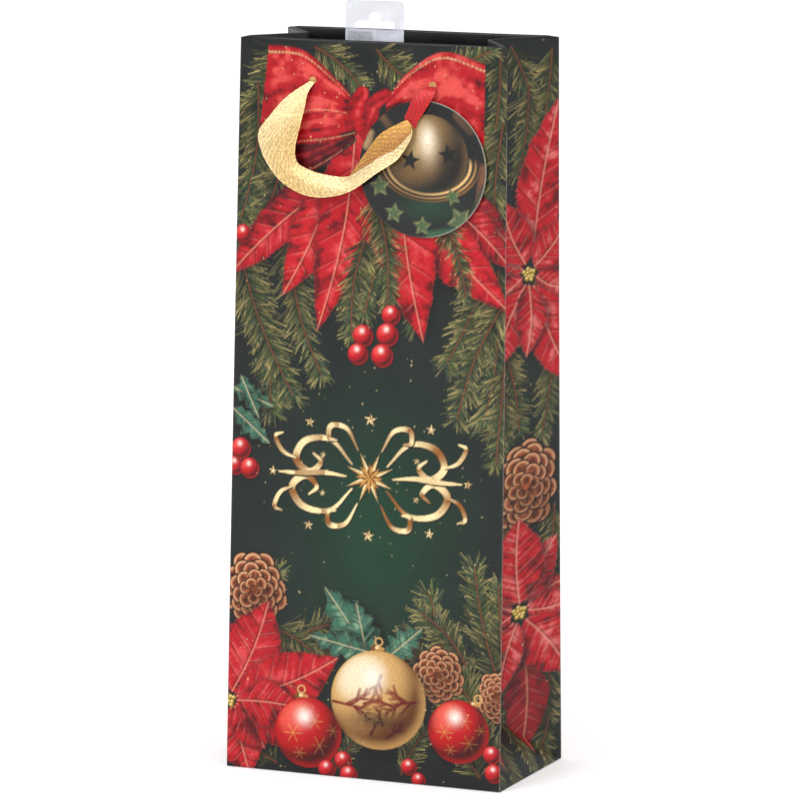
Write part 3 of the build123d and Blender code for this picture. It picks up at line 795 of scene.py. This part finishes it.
def wall_point(side, x, v, w):
    """A point of the front (side -1) or back (side 1) wall: x across, v up it, w outwards."""
    x, v, w = np.broadcast_arrays(np.asarray(x, float), v, w)
    rise = v / PANEL
    depth = HALF_BASE + (HALF_MOUTH - HALF_BASE) * rise + SKEW * rise ** 2 * (x / HALF_WIDTH) ** 5
    wave = 0.35 * (noise(x + 200, v + side * 50 + 100, 55, 91) - 0.5)
    inside = np.clip(1 - (np.abs(x) / HALF_WIDTH) ** 2, 0, 1)
    depth = depth + inside * np.sin(np.pi * np.clip(rise, 0, 1)) ** 2 * (BULGE + wave * 4) + w * UPRIGHT
    x = x - SPREAD * (1 - rise) * (HALF_WIDTH - x) / (2 * HALF_WIDTH)
    return np.stack([x, side * depth, v * UPRIGHT + w * LEAN], -1)


def gusset_point(side, s, v):
    """A point of the gusset at x = side * HALF_WIDTH: s from the front fold, v up the paper."""
    s, v = np.broadcast_arrays(np.asarray(s, float), np.asarray(v, float))
    half = GUSSET / 2
    q = np.minimum(s, GUSSET - s) / half
    end = np.where(s <= half, -1, 1)[..., None]
    corner = np.where(end < 0, wall_point(-1, side * HALF_WIDTH, 0.0, 0.0),
                      wall_point(1, side * HALF_WIDTH, 0.0, 0.0))
    rim = np.where(end < 0, wall_point(-1, side * HALF_WIDTH, PANEL, 0.0),
                   wall_point(1, side * HALF_WIDTH, PANEL, 0.0))
    apex = np.array([side * (HALF_WIDTH - FOOT_TUCK), 0, FOOT_TIP])
    apex = apex - np.array([SPREAD * (1 - FOOT_TIP / PANEL) * (side < 0), 0, 0])
    crease = np.array([side * (HALF_WIDTH - TUCK_TOP), 0, TOP])
    diagonal = mix(corner, apex, q)
    top = mix(rim, crease, q)
    fold = half * q
    t = np.clip((v - fold) / (PANEL - fold), 0, 1)
    upper = diagonal * (1 - t[..., None]) + top * t[..., None]
    skew = SKEW * side * (t ** 2 - t) * (1 - q)
    upper[..., 1] += end[..., 0] * skew
    bow = 0.9 * np.sin(np.pi * q) * np.sin(np.pi * (0.15 + 0.85 * t))
    upper[..., 0] += side * bow
    rise = v / half
    foot = np.stack([side * (HALF_WIDTH - FOOT_TUCK * rise) - SPREAD * (side < 0) * (1 - 0.085 * rise),
                     s - half, FOOT_TIP * rise], -1)
    return np.where((v < fold)[..., None], foot, upper)


def normals_of(points):
    du = np.gradient(points, axis=1)
    dv = np.gradient(points, axis=0)
    n = np.cross(du, dv)
    return n / np.linalg.norm(n, axis=-1, keepdims=True)


def shell(name, surface, columns, art, flip, body, slot_name, nodes):
    """One wall of the bag: printed outside, folded over at the mouth, hem and lining inside."""
    outer_v = np.linspace(0, PANEL, int(PANEL / STEP) + 1)
    u, v = np.meshgrid(columns, outer_v)
    outer = surface(u, v)
    normal = normals_of(outer) * flip
    paint = art(u, v)
    rows, colours, kinds = [outer], [paint], [0] * (len(outer_v) - 1)
    thick = 1.6
    dark = srgb(16, 17, 18)
    reach = np.minimum(np.arange(len(columns)), np.arange(len(columns))[::-1])
    slim = np.clip(reach / 12, 0.15, 1)[:, None]     # thins the hem to nothing at the corners
    for turn in np.linspace(0, math.pi, 6)[1:]:
        up = np.array([0, 0, 1]) * math.sin(turn) * thick / 2 * slim
        rows.append((outer[-1] - normal[-1] * slim * thick / 2 * (1 - math.cos(turn)) + up)[None])
        colours.append(np.ones((1, len(columns), 3)) * dark)
        kinds.append(0)
    hem_v = np.linspace(PANEL, PANEL - HEM, 9)[1:]
    lining_v = np.linspace(PANEL - HEM, 0.5, 46 if len(columns) > 200 else 380)
    for inner_v, depth, tone, kind in (
            (hem_v, thick, dark, 0), (lining_v, PAPER, srgb(226, 224, 218), 1)):
        k = np.clip(np.searchsorted(outer_v, inner_v), 0, len(outer_v) - 1)
        rows.append(outer[k] - normal[k] * slim * depth)
        colours.append(np.ones((len(k), len(columns), 3)) * tone)
        kinds += [kind] * len(k)
    points = np.concatenate(rows)
    mesh = grid_mesh(name, points if flip > 0 else points[:, ::-1],
                     np.concatenate(colours) if flip > 0 else np.concatenate(colours)[:, ::-1])
    mark_faces(mesh, len(columns) - 1, kinds)
    return new_object(name, mesh, body, slot_name, *nodes)


wall_art = paint_wall()
gusset_art = paint_gusset()
wall_columns = np.linspace(-HALF_WIDTH, HALF_WIDTH, int(2 * HALF_WIDTH / STEP) + 1)
gusset_columns = np.linspace(0, GUSSET, int(GUSSET / STEP / 2) * 2 + 1)

front_wall = shell("front_wall", lambda u, v: wall_point(-1, u, v, 0.0), wall_columns,
                   wall_art.at, 1, "bag", "printed_wall",
                   ("front_panel", "front_hem", "front_stiffener"))
back_wall = shell("back_wall", lambda u, v: wall_point(1, u, v, 0.0), wall_columns,
                  lambda u, v: wall_art.at(-u, v), -1, "bag", "printed_wall",
                  ("back_panel", "back_hem", "back_stiffener", "seam_flap"))
right_gusset = shell("right_gusset", lambda s, v: gusset_point(1, s, v), gusset_columns,
                     gusset_art.at, 1, "bag", "printed_gusset",
                     ("right_gusset_front_half", "right_gusset_back_half", "right_gusset_foot",
                      "right_gusset_hem"))
left_gusset = shell("left_gusset", lambda s, v: gusset_point(-1, s, v), gusset_columns,
                    gusset_art.at, -1, "bag", "printed_gusset",
                    ("left_gusset_front_half", "left_gusset_back_half", "left_gusset_foot",
                     "left_gusset_hem"))


# ---- Ribbons ----
RIBBON_THICK = 0.22


def on_front(x, drop, w):
    return wall_point(-1, x, PANEL - np.asarray(drop, float), w)


def on_back(x, drop, w):
    return wall_point(1, -np.asarray(x, float), PANEL - np.asarray(drop, float), w)


def ribbon(name, place, outer, inner, cup, body, tones, nodes, count):
    """A woven ribbon between two edge lines given as (x, drop, w), with a face and a reverse."""
    t = np.linspace(0, 1, count)
    a, b = catmull(outer, t), catmull(inner, t)
    across = np.linspace(0, 1, 25)
    lift = np.interp(t, np.linspace(0, 1, len(cup)), cup)
    line = a[:, None] * (1 - across[None, :, None]) + b[:, None] * across[None, :, None]
    line[..., 2] += lift[:, None] * np.sin(np.pi * across)[None]
    face = place(line[..., 0], line[..., 1], line[..., 2])
    normal = normals_of(face)
    top = face + normal * RIBBON_THICK / 2
    under = face - normal * RIBBON_THICK / 2
    ring = np.concatenate([top, under[:, ::-1]], axis=1)
    back_tone = np.ones((count, 1, 1)) * tones[1]
    edge = 1 + 0.25 * np.exp(-(np.minimum(across, 1 - across) / 0.05) ** 2)
    tt, aa = np.meshgrid(t, across, indexing="ij")
    top_paint = np.clip(tones[0](tt, aa) * edge[None, :, None], 0, 1)
    under_paint = np.broadcast_to(back_tone, (count, len(across), 3))
    top_paint = top_paint[:, ::-1]
    paint = np.concatenate([under_paint, top_paint], axis=1)
    mesh = grid_mesh(name, ring, paint, close_u=True)
    uv = mesh.uv_layers.new(name="weave")
    length = np.concatenate([
        [0], np.cumsum(np.linalg.norm(np.diff(face[:, len(across) // 2], axis=0), axis=-1))])
    width = np.linalg.norm(face[:, -1] - face[:, 0], axis=-1)
    cols = 2 * len(across)
    lane = np.concatenate([across, across[::-1]])
    loops = np.empty(len(mesh.loops), np.int32)
    mesh.loops.foreach_get("vertex_index", loops)
    row, col = loops // cols, loops % cols
    coords = np.stack([lane[col] * width[row], length[row]], -1).astype(np.float32)
    uv.data.foreach_set("uv", coords.ravel())
    piece = new_object(name, mesh, body, "ribbon", *nodes)
    return piece, float(length[-1])


def gold_face(t, across):
    """Pale metallic gold with a painted sheen: its tone rises and falls along the ribbon."""
    tone = mix(srgb(226, 188, 122), srgb(240, 212, 158), 0.5 + 0.5 * np.sin(t * 14 + across * 2))
    return tone


def folded_face(t, across):
    """Gold, with painted shade in the hollow behind the fold before the tag and a painted highlight
    along the fold.
    """
    start, end = 0.485, 0.76
    part = np.clip((t - start) / (end - start), 0, 1)
    border = np.interp(part, [0, 0.18, 0.45, 1], [1.0, 0.52, 0.24, 0.10])
    # Painted shade: past the fold line the face turns to a shaded ochre.
    hollow = smooth(-0.03, 0.03, across - border) * (t > start)
    shade = mix(srgb(160, 104, 40), srgb(206, 150, 70), smooth(0.2, 0.9, across * 0.6 + part * 0.5))
    tone = mix(gold_face(t, across), shade, hollow)
    # Painted highlight: a pale line along the fold.
    fold = np.exp(-((across - border) / 0.035) ** 2) * (t > start) * (t < end)
    return mix(tone, srgb(250, 232, 190), fold * 0.7)


RED_FACE = srgb(188, 2, 12)

front_outer = [(-32.0, 19.3, 0.7), (-42.8, 27, 3.2), (-50.5, 36, 5.4), (-56, 44.5, 6.8),
               (-54.1, 53.8, 6.6), (-48.8, 62.2, 6.6), (-42.1, 68.4, 6.8), (-31.5, 73.1, 7.2),
               (-20.1, 73.8, 7.6), (-6.9, 70.2, 8.0), (6.5, 61, 7.8), (12, 57.5, 7.2),
               (16.7, 53.9, 6.6), (21.2, 47, 5.8), (23.0, 42.6, 5.2), (22.4, 38.4, 4.6),
               (18.4, 34.8, 3.4), (20.0, 30.6, 3.6), (22.2, 25.4, 3.4), (25.8, 21.0, 2.1),
               (29.2, 19.5, 0.7)]
front_inner = [(-29.6, 19.9, 0.7), (-32.4, 25.3, 2.4), (-33.3, 32.3, 3.6), (-34.8, 40, 4.6),
               (-37.1, 50.6, 5.0), (-36.2, 57.3, 5.2), (-32, 60.2, 5.4), (-24.7, 62.5, 5.4),
               (-14.3, 63.8, 5.2), (-11, 63.6, 4.4), (-8.5, 62.5, 4.4), (-0.6, 51.3, 4.2),
               (6.5, 42.5, 4.2), (15.5, 37.4, 4.4), (20.0, 35.6, 4.5), (22.2, 37.2, 4.4),
               (23.8, 39.4, 3.3), (26.0, 35.0, 3.6), (30.2, 28.6, 3.4), (33.0, 22.9, 2.6),
               (33.0, 19.5, 0.7)]
front_loop, front_length = ribbon(
    "front_ribbon_loop", on_front, front_outer, front_inner,
    [0, 0.9, 1.4, 1.2, 0.6, 0.9, 0.4, 0.2, 0.0], "front_handle", (folded_face, RED_FACE),
    nodes=("front_ribbon",), count=300)

ARM = ((1.8, 0.5, 0.7), (7.5, 12, 2.0), (7.5, 27, 3.0), (7.5, 42, 3.4))


def arch_edge(side):
    """An edge of the back loop, outside at side 1 and inside at -1: down, round and up."""
    half_width, straight, depth = 7.5, 42, 3.8
    down = [(-HOLE_X - side * k, HOLE_DROP + d, w) for k, d, w in ARM]
    reach = HOLE_X + side * half_width
    bend = [(-reach * math.cos(turn), HOLE_DROP + straight + reach * math.sin(turn), depth)
            for turn in np.linspace(0, math.pi, 9)[1:-1]]
    return down + bend + [(-x, d, w) for x, d, w in reversed(down)]


back_loop, back_length = ribbon(
    "back_ribbon_loop", on_back, arch_edge(1), arch_edge(-1), [0, 0.7, 1.2, 0.7, 0], "back_handle",
    (gold_face, RED_FACE), nodes=("back_ribbon",), count=200)


# ---- The gift tag ----
def build_tag():
    art = paint_tag()
    centre = np.array([tag_low.x + tag_high.x, tag_low.z + tag_high.z]) / 2 / MM
    centre_x, centre_drop = centre[0], PANEL - centre[1] / UPRIGHT
    hole_x, hole_drop = TAG_HOLE
    angle = np.linspace(0, 2 * math.pi, 560, endpoint=False)
    ux, uy = np.cos(angle), np.sin(angle)
    ox, oy = hole_x - centre_x, centre_drop - hole_drop
    b = ox * ux + oy * uy
    far = -b + np.sqrt(b * b - (ox * ox + oy * oy - TAG_RADIUS ** 2))
    steps = np.linspace(0, 1, 120)
    radius = 2.25 + (far[None] - 2.25) * steps[:, None]
    px, py = ox + ux * radius, oy + uy * radius
    coarse = radius[::-8]
    bx, by = ox + ux * coarse, oy + uy * coarse

    def place(x, y, w):
        x, y, w = np.broadcast_arrays(x, y, w)
        curl = 0.25 * ((x + 4) / TAG_RADIUS) ** 2
        return np.stack([centre_x + x,
                         -HALF_BASE + (PANEL - centre_drop + y) * LEAN - (w + curl) * UPRIGHT,
                         (PANEL - centre_drop + y) * UPRIGHT + (w + curl) * LEAN], -1)

    rows = [place(px, py, 2.45), place(px[-1:] * 1.0006, py[-1:] * 1.0006, 2.25), place(bx, by, 2.02),
            place(px[:1], py[:1], 2.02), place(px[:1], py[:1], 2.45)]
    front = art.at(px, py)
    rim = TAG_RADIUS - np.hypot(px, py)
    front = mix(front, srgb(150, 150, 140), smooth(0.8, 0.1, rim) * smooth(-6, 12, px) * 0.8)
    card = srgb(214, 212, 206)
    colours = [front] + [np.ones(r.shape) * card for r in rows[1:]]
    points, paint = np.concatenate(rows), np.concatenate(colours)
    mesh = grid_mesh("gift_tag_disc", points[:, ::-1], paint[:, ::-1], close_u=True)
    return new_object("gift_tag_disc", mesh, "tag", "tag_card", "gift_tag")


tag_disc = build_tag()


# ---------------------------------------------------------------------------------------------
# Materials
# ---------------------------------------------------------------------------------------------
def material(name):
    mat = bpy.data.materials.new(name)
    mat.use_nodes = True
    tree = mat.node_tree
    shader = next(n for n in tree.nodes if n.type == "BSDF_PRINCIPLED")
    return mat, tree, shader


def node(tree, kind, **values):
    new = tree.nodes.new(kind)
    for key, value in values.items():
        if hasattr(new, key):
            setattr(new, key, value)
        else:
            new.inputs[key.replace("_", " ")].default_value = value
    return new


def noise_node(tree, scale, detail=3.0, stretch=None):
    coords = tree.nodes.new("ShaderNodeTexCoord")
    tex = node(tree, "ShaderNodeTexNoise", Scale=scale, Detail=detail)
    if stretch:
        mapping = tree.nodes.new("ShaderNodeMapping")
        mapping.inputs["Scale"].default_value = stretch
        tree.links.new(coords.outputs["Object"], mapping.inputs["Vector"])
        tree.links.new(mapping.outputs["Vector"], tex.inputs["Vector"])
    else:
        tree.links.new(coords.outputs["Object"], tex.inputs["Vector"])
    return tex.outputs["Fac"]


def ramp(tree, source, low, high, at0=0.35, at1=0.65):
    r = tree.nodes.new("ShaderNodeValToRGB")
    r.color_ramp.elements[0].position, r.color_ramp.elements[1].position = at0, at1
    r.color_ramp.elements[0].color = (
        (*np.atleast_1d(low), 1) if np.size(low) == 3 else (low, low, low, 1))
    r.color_ramp.elements[1].color = (
        (*np.atleast_1d(high), 1) if np.size(high) == 3 else (high, high, high, 1))
    tree.links.new(source, r.inputs["Fac"])
    return r.outputs["Color"]


def blend(tree, kind, a, b, amount=1.0):
    m = tree.nodes.new("ShaderNodeMix")
    m.data_type, m.blend_type = "RGBA", kind
    m.inputs["Factor"].default_value = amount
    for value, socket in ((a, m.inputs["A"]), (b, m.inputs["B"])):
        sockets = [s for s in m.inputs if s.name == socket.name and s.type == "RGBA"]
        if isinstance(value, bpy.types.NodeSocket):
            tree.links.new(value, sockets[0])
        else:
            sockets[0].default_value = (*value, 1)
    return next(s for s in m.outputs if s.type == "RGBA")


def bumps(tree, shader, layers):
    """Stacks (height, strength, distance) bumps onto the shader's normal."""
    last = None
    for height, strength, distance in layers:
        b = tree.nodes.new("ShaderNodeBump")
        b.inputs["Strength"].default_value = strength
        b.inputs["Distance"].default_value = distance
        tree.links.new(height, b.inputs["Height"])
        if last is not None:
            tree.links.new(last, b.inputs["Normal"])
        last = b.outputs["Normal"]
    tree.links.new(last, shader.inputs["Normal"])


def painted(tree):
    attribute = tree.nodes.new("ShaderNodeVertexColor")
    attribute.layer_name = "paint"
    return attribute.outputs["Color"]


def laminated(name, roughness=0.32, level=0.28, coat=0.0):
    """Printed paper under a satin film: faint ink mottle, slow waviness, hairline creases."""
    mat, tree, shader = material(name)
    mottle = ramp(tree, noise_node(tree, 900, 2), 0.86, 1.08, 0.3, 0.7)
    colour = blend(tree, "MULTIPLY", painted(tree), mottle, 1.0)
    tree.links.new(colour, shader.inputs["Base Color"])
    rough = ramp(tree, noise_node(tree, 60, 4), roughness - 0.05, roughness + 0.10)
    tree.links.new(rough, shader.inputs["Roughness"])
    shader.inputs["Specular IOR Level"].default_value = level
    shader.inputs["Coat Weight"].default_value = coat
    shader.inputs["Coat Roughness"].default_value = 0.2
    bumps(tree, shader, ((noise_node(tree, 16, 2, (1, 1, 0.45)), 0.5, 0.0016),
                         (noise_node(tree, 700, 2), 0.18, 0.00012)))
    return mat


def paper(name, colour, rough=0.8):
    mat, tree, shader = material(name)
    fibre = ramp(tree, noise_node(tree, 1500, 4, (1, 1, 0.3)), 0.86, 1.04)
    cloud = ramp(tree, noise_node(tree, 40, 3), 0.94, 1.02)
    base = blend(tree, "MULTIPLY", fibre, cloud)
    tree.links.new(blend(tree, "MULTIPLY", base, colour), shader.inputs["Base Color"])
    shader.inputs["Roughness"].default_value = rough
    bumps(tree, shader, ((noise_node(tree, 1200, 3), 0.3, 0.0001),))
    return mat


def woven(name, tint=None, metal=0.25):
    """Woven metallic ribbon: cross ribs, bright threads and a little sparkle."""
    mat, tree, shader = material(name)
    if tint is None:
        uv = tree.nodes.new("ShaderNodeUVMap")
        uv.uv_map = "weave"
        vector, scale = uv.outputs["UV"], 1.0
        base = painted(tree)
    else:
        coords = tree.nodes.new("ShaderNodeTexCoord")
        vector, scale = coords.outputs["Object"], 1000.0
        base = tint
    weft = node(tree, "ShaderNodeTexWave", Scale=scale * 0.24, Distortion=4.0,
                bands_direction="DIAGONAL")
    warp = node(tree, "ShaderNodeTexWave", Scale=scale * 0.30, Distortion=3.0, bands_direction="X")
    for wave in (weft, warp):
        tree.links.new(vector, wave.inputs["Vector"])
    threads = ramp(tree, weft.outputs["Fac"], 0.84, 1.06, 0.1, 0.9)
    colour = blend(tree, "MULTIPLY", base, threads)
    lines = ramp(tree, warp.outputs["Fac"], 0.88, 1.05, 0.1, 0.9)
    colour = blend(tree, "MULTIPLY", colour, lines)
    glint = ramp(tree, noise_node(tree, 1500, 2, (1, 1, 0.5)), 0.72, 1.3, 0.38, 0.68)
    colour = blend(tree, "MULTIPLY", colour, glint)
    tree.links.new(colour, shader.inputs["Base Color"])
    shader.inputs["Metallic"].default_value = metal
    shader.inputs["Roughness"].default_value = 0.42
    shader.inputs["Sheen Weight"].default_value = 0.2
    bumps(tree, shader, ((weft.outputs["Fac"], 0.35, 0.00015), (warp.outputs["Fac"], 0.25, 0.0001)))
    return mat


def film(name):
    """Clear film, frosted just above the mouth where the pad's adhesive spreads."""
    mat, tree, shader = material(name)
    coords = tree.nodes.new("ShaderNodeTexCoord")
    split = tree.nodes.new("ShaderNodeSeparateXYZ")
    tree.links.new(coords.outputs["Object"], split.inputs[0])

    def between(socket, low, high, soft):
        first = node(tree, "ShaderNodeMapRange", From_Min=low - soft, From_Max=low + soft)
        last = node(tree, "ShaderNodeMapRange", From_Min=high - soft, From_Max=high + soft,
                    To_Min=1.0, To_Max=0.0)
        both = node(tree, "ShaderNodeMath", operation="MULTIPLY")
        for k, part in enumerate((first, last)):
            tree.links.new(socket, part.inputs["Value"])
            tree.links.new(part.outputs["Result"], both.inputs[k])
        return both.outputs[0]

    top = PANEL * UPRIGHT * MM
    frosted = between(split.outputs["Z"], 0.0, top + 0.0062, 0.0005)
    clear_x = between(split.outputs["X"], -0.0142, -0.0010, 0.0008)
    clear_z = between(split.outputs["Z"], top + 0.0008, top + 0.0054, 0.0008)
    window = node(tree, "ShaderNodeMath", operation="MULTIPLY")
    tree.links.new(clear_x, window.inputs[0])
    tree.links.new(clear_z, window.inputs[1])
    keep = node(tree, "ShaderNodeMath", operation="SUBTRACT")
    tree.links.new(frosted, keep.inputs[0])
    tree.links.new(window.outputs[0], keep.inputs[1])
    opacity = node(tree, "ShaderNodeMapRange", To_Min=0.34, To_Max=0.74)
    tree.links.new(keep.outputs[0], opacity.inputs["Value"])
    tree.links.new(opacity.outputs["Result"], shader.inputs["Alpha"])
    tree.links.new(ramp(tree, noise_node(tree, 160, 3), srgb(186, 188, 200), srgb(208, 210, 220)),
                   shader.inputs["Base Color"])
    tree.links.new(ramp(tree, noise_node(tree, 420, 3, (1, 1, 0.15)), 0.06, 0.2),
                   shader.inputs["Roughness"])
    bumps(tree, shader, ((noise_node(tree, 60, 2), 0.2, 0.0005),))
    return mat


def dress(name, mat):
    """Puts a material on a CAD node's object."""
    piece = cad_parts[name]
    if not piece.material_slots:
        piece.data.materials.append(mat)
    for held in piece.material_slots:
        held.material = mat


printed = laminated("laminated_print")
plain = paper("plain_inside_paper", srgb(232, 231, 226))
kraft = paper("base_paper", srgb(222, 219, 210))
card = paper("grey_card", srgb(150, 146, 138), 0.9)
gold_weave = woven("gold_and_red_ribbon")
knot_weave = woven("ribbon_knot_weave", srgb(196, 150, 84), 0.2)
tag_print = laminated("laminated_tag", 0.2, 0.5)
clear = film("clear_film")
glue_mat = paper("dried_glue", srgb(190, 188, 178), 0.45)

for wall in (front_wall, back_wall, right_gusset, left_gusset):
    wall.data.materials.append(printed)
    wall.data.materials.append(plain)
for loop in (front_loop, back_loop):
    loop.data.materials.append(gold_weave)
tag_disc.data.materials.append(tag_print)

NODE_LOOKS = {"base_outer_flap": kraft, "base_inner_flap": kraft, "base_side_flaps": kraft,
              "base_board": card, "hang_tab": clear, "hang_tab_glue": glue_mat,
              "front_ribbon_knots": knot_weave, "back_ribbon_knots": knot_weave}
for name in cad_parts:
    if name in NODE_LOOKS:
        dress(name, NODE_LOOKS[name])

# ---------------------------------------------------------------------------------------------
# Studio
# ---------------------------------------------------------------------------------------------
def plane(name, size, at):
    mesh = bpy.data.meshes.new(name)
    s = size / 2
    mesh.from_pydata([(-s, -s, 0), (s, -s, 0), (s, s, 0), (-s, s, 0)], [], [(0, 1, 2, 3)])
    obj = bpy.data.objects.new(name, mesh)
    obj.location = at
    bpy.context.scene.collection.objects.link(obj)
    return obj


def seen_by(tree, *rays):
    """1 on the named kinds of ray and 0 on the others."""
    path = tree.nodes.new("ShaderNodeLightPath")
    last = path.outputs[rays[0]]
    for ray in rays[1:]:
        either = tree.nodes.new("ShaderNodeMath")
        either.operation = "MAXIMUM"
        tree.links.new(last, either.inputs[0])
        tree.links.new(path.outputs[ray], either.inputs[1])
        last = either.outputs[0]
    return last


floor = plane("studio_floor", 12, (0, 0, -0.0004))
floor_mat, tree, shader = material("studio_floor")
shader.inputs["Base Color"].default_value = (0.86, 0.86, 0.86, 1)
shader.inputs["Roughness"].default_value = 0.9
shader.inputs["Specular IOR Level"].default_value = 0.1
also = seen_by(tree, "Is Camera Ray", "Is Glossy Ray", "Is Transmission Ray")
lift = tree.nodes.new("ShaderNodeMath")
lift.operation = "MULTIPLY"
lift.inputs[1].default_value = 1.0
tree.links.new(also, lift.inputs[0])
where = tree.nodes.new("ShaderNodeTexCoord")
away = tree.nodes.new("ShaderNodeVectorMath")
away.operation = "LENGTH"
tree.links.new(where.outputs["Object"], away.inputs[0])
glow = tree.nodes.new("ShaderNodeMapRange")
for key, value in (("From Min", 0.15), ("From Max", 1.6), ("To Min", 0.26), ("To Max", 0.62)):
    glow.inputs[key].default_value = value
tree.links.new(away.outputs["Value"], glow.inputs["Value"])
tree.links.new(glow.outputs["Result"], lift.inputs[1])
shader.inputs["Emission Color"].default_value = (1, 1, 1, 1)
tree.links.new(lift.outputs[0], shader.inputs["Emission Strength"])
floor.data.materials.append(floor_mat)

world = bpy.data.worlds.new("studio")
bpy.context.scene.world = world
world.use_nodes = True
tree = world.node_tree
backdrop = tree.nodes["Background"]
level = tree.nodes.new("ShaderNodeMapRange")
level.inputs["To Min"].default_value = 0.55
level.inputs["To Max"].default_value = 1.0
tree.links.new(seen_by(tree, "Is Camera Ray", "Is Transmission Ray"), level.inputs["Value"])
tree.links.new(level.outputs["Result"], backdrop.inputs["Strength"])
backdrop.inputs["Color"].default_value = (1, 1, 1, 1)


def lamp(name, at, aim, power, size):
    light = bpy.data.lights.new(name, "AREA")
    light.energy, light.size = power, size
    obj = bpy.data.objects.new(name, light)
    obj.location = at
    obj.rotation_euler = (Vector(aim) - Vector(at)).to_track_quat("-Z", "Y").to_euler()
    bpy.context.scene.collection.objects.link(obj)


lamp("key", (-0.6, -1.5, 1.3), (0, 0, 0.18), 19, 0.9)
lamp("fill", (1.5, -0.9, 0.8), (0, 0, 0.18), 11, 1.0)
lamp("top", (0.1, 0.2, 1.9), (0, 0, 0.1), 12, 1.2)

yaw, pitch, reach = math.radians(23.225), math.radians(9.191), 2.641774
lens = bpy.data.cameras.new("camera")
lens.lens, lens.sensor_width = 249.2, 36
lens.shift_x, lens.shift_y = 0.00266, -0.008
camera = bpy.data.objects.new("camera", lens)
camera.location = (math.sin(yaw) * reach, -math.cos(yaw) * reach, 0.60969)
facing = Vector((-math.sin(yaw) * math.cos(pitch), math.cos(yaw) * math.cos(pitch), -math.sin(pitch)))
camera.rotation_euler = facing.to_track_quat("-Z", "Y").to_euler()
bpy.context.scene.collection.objects.link(camera)
bpy.context.scene.camera = camera
bpy.context.scene.view_settings.view_transform = "Standard"
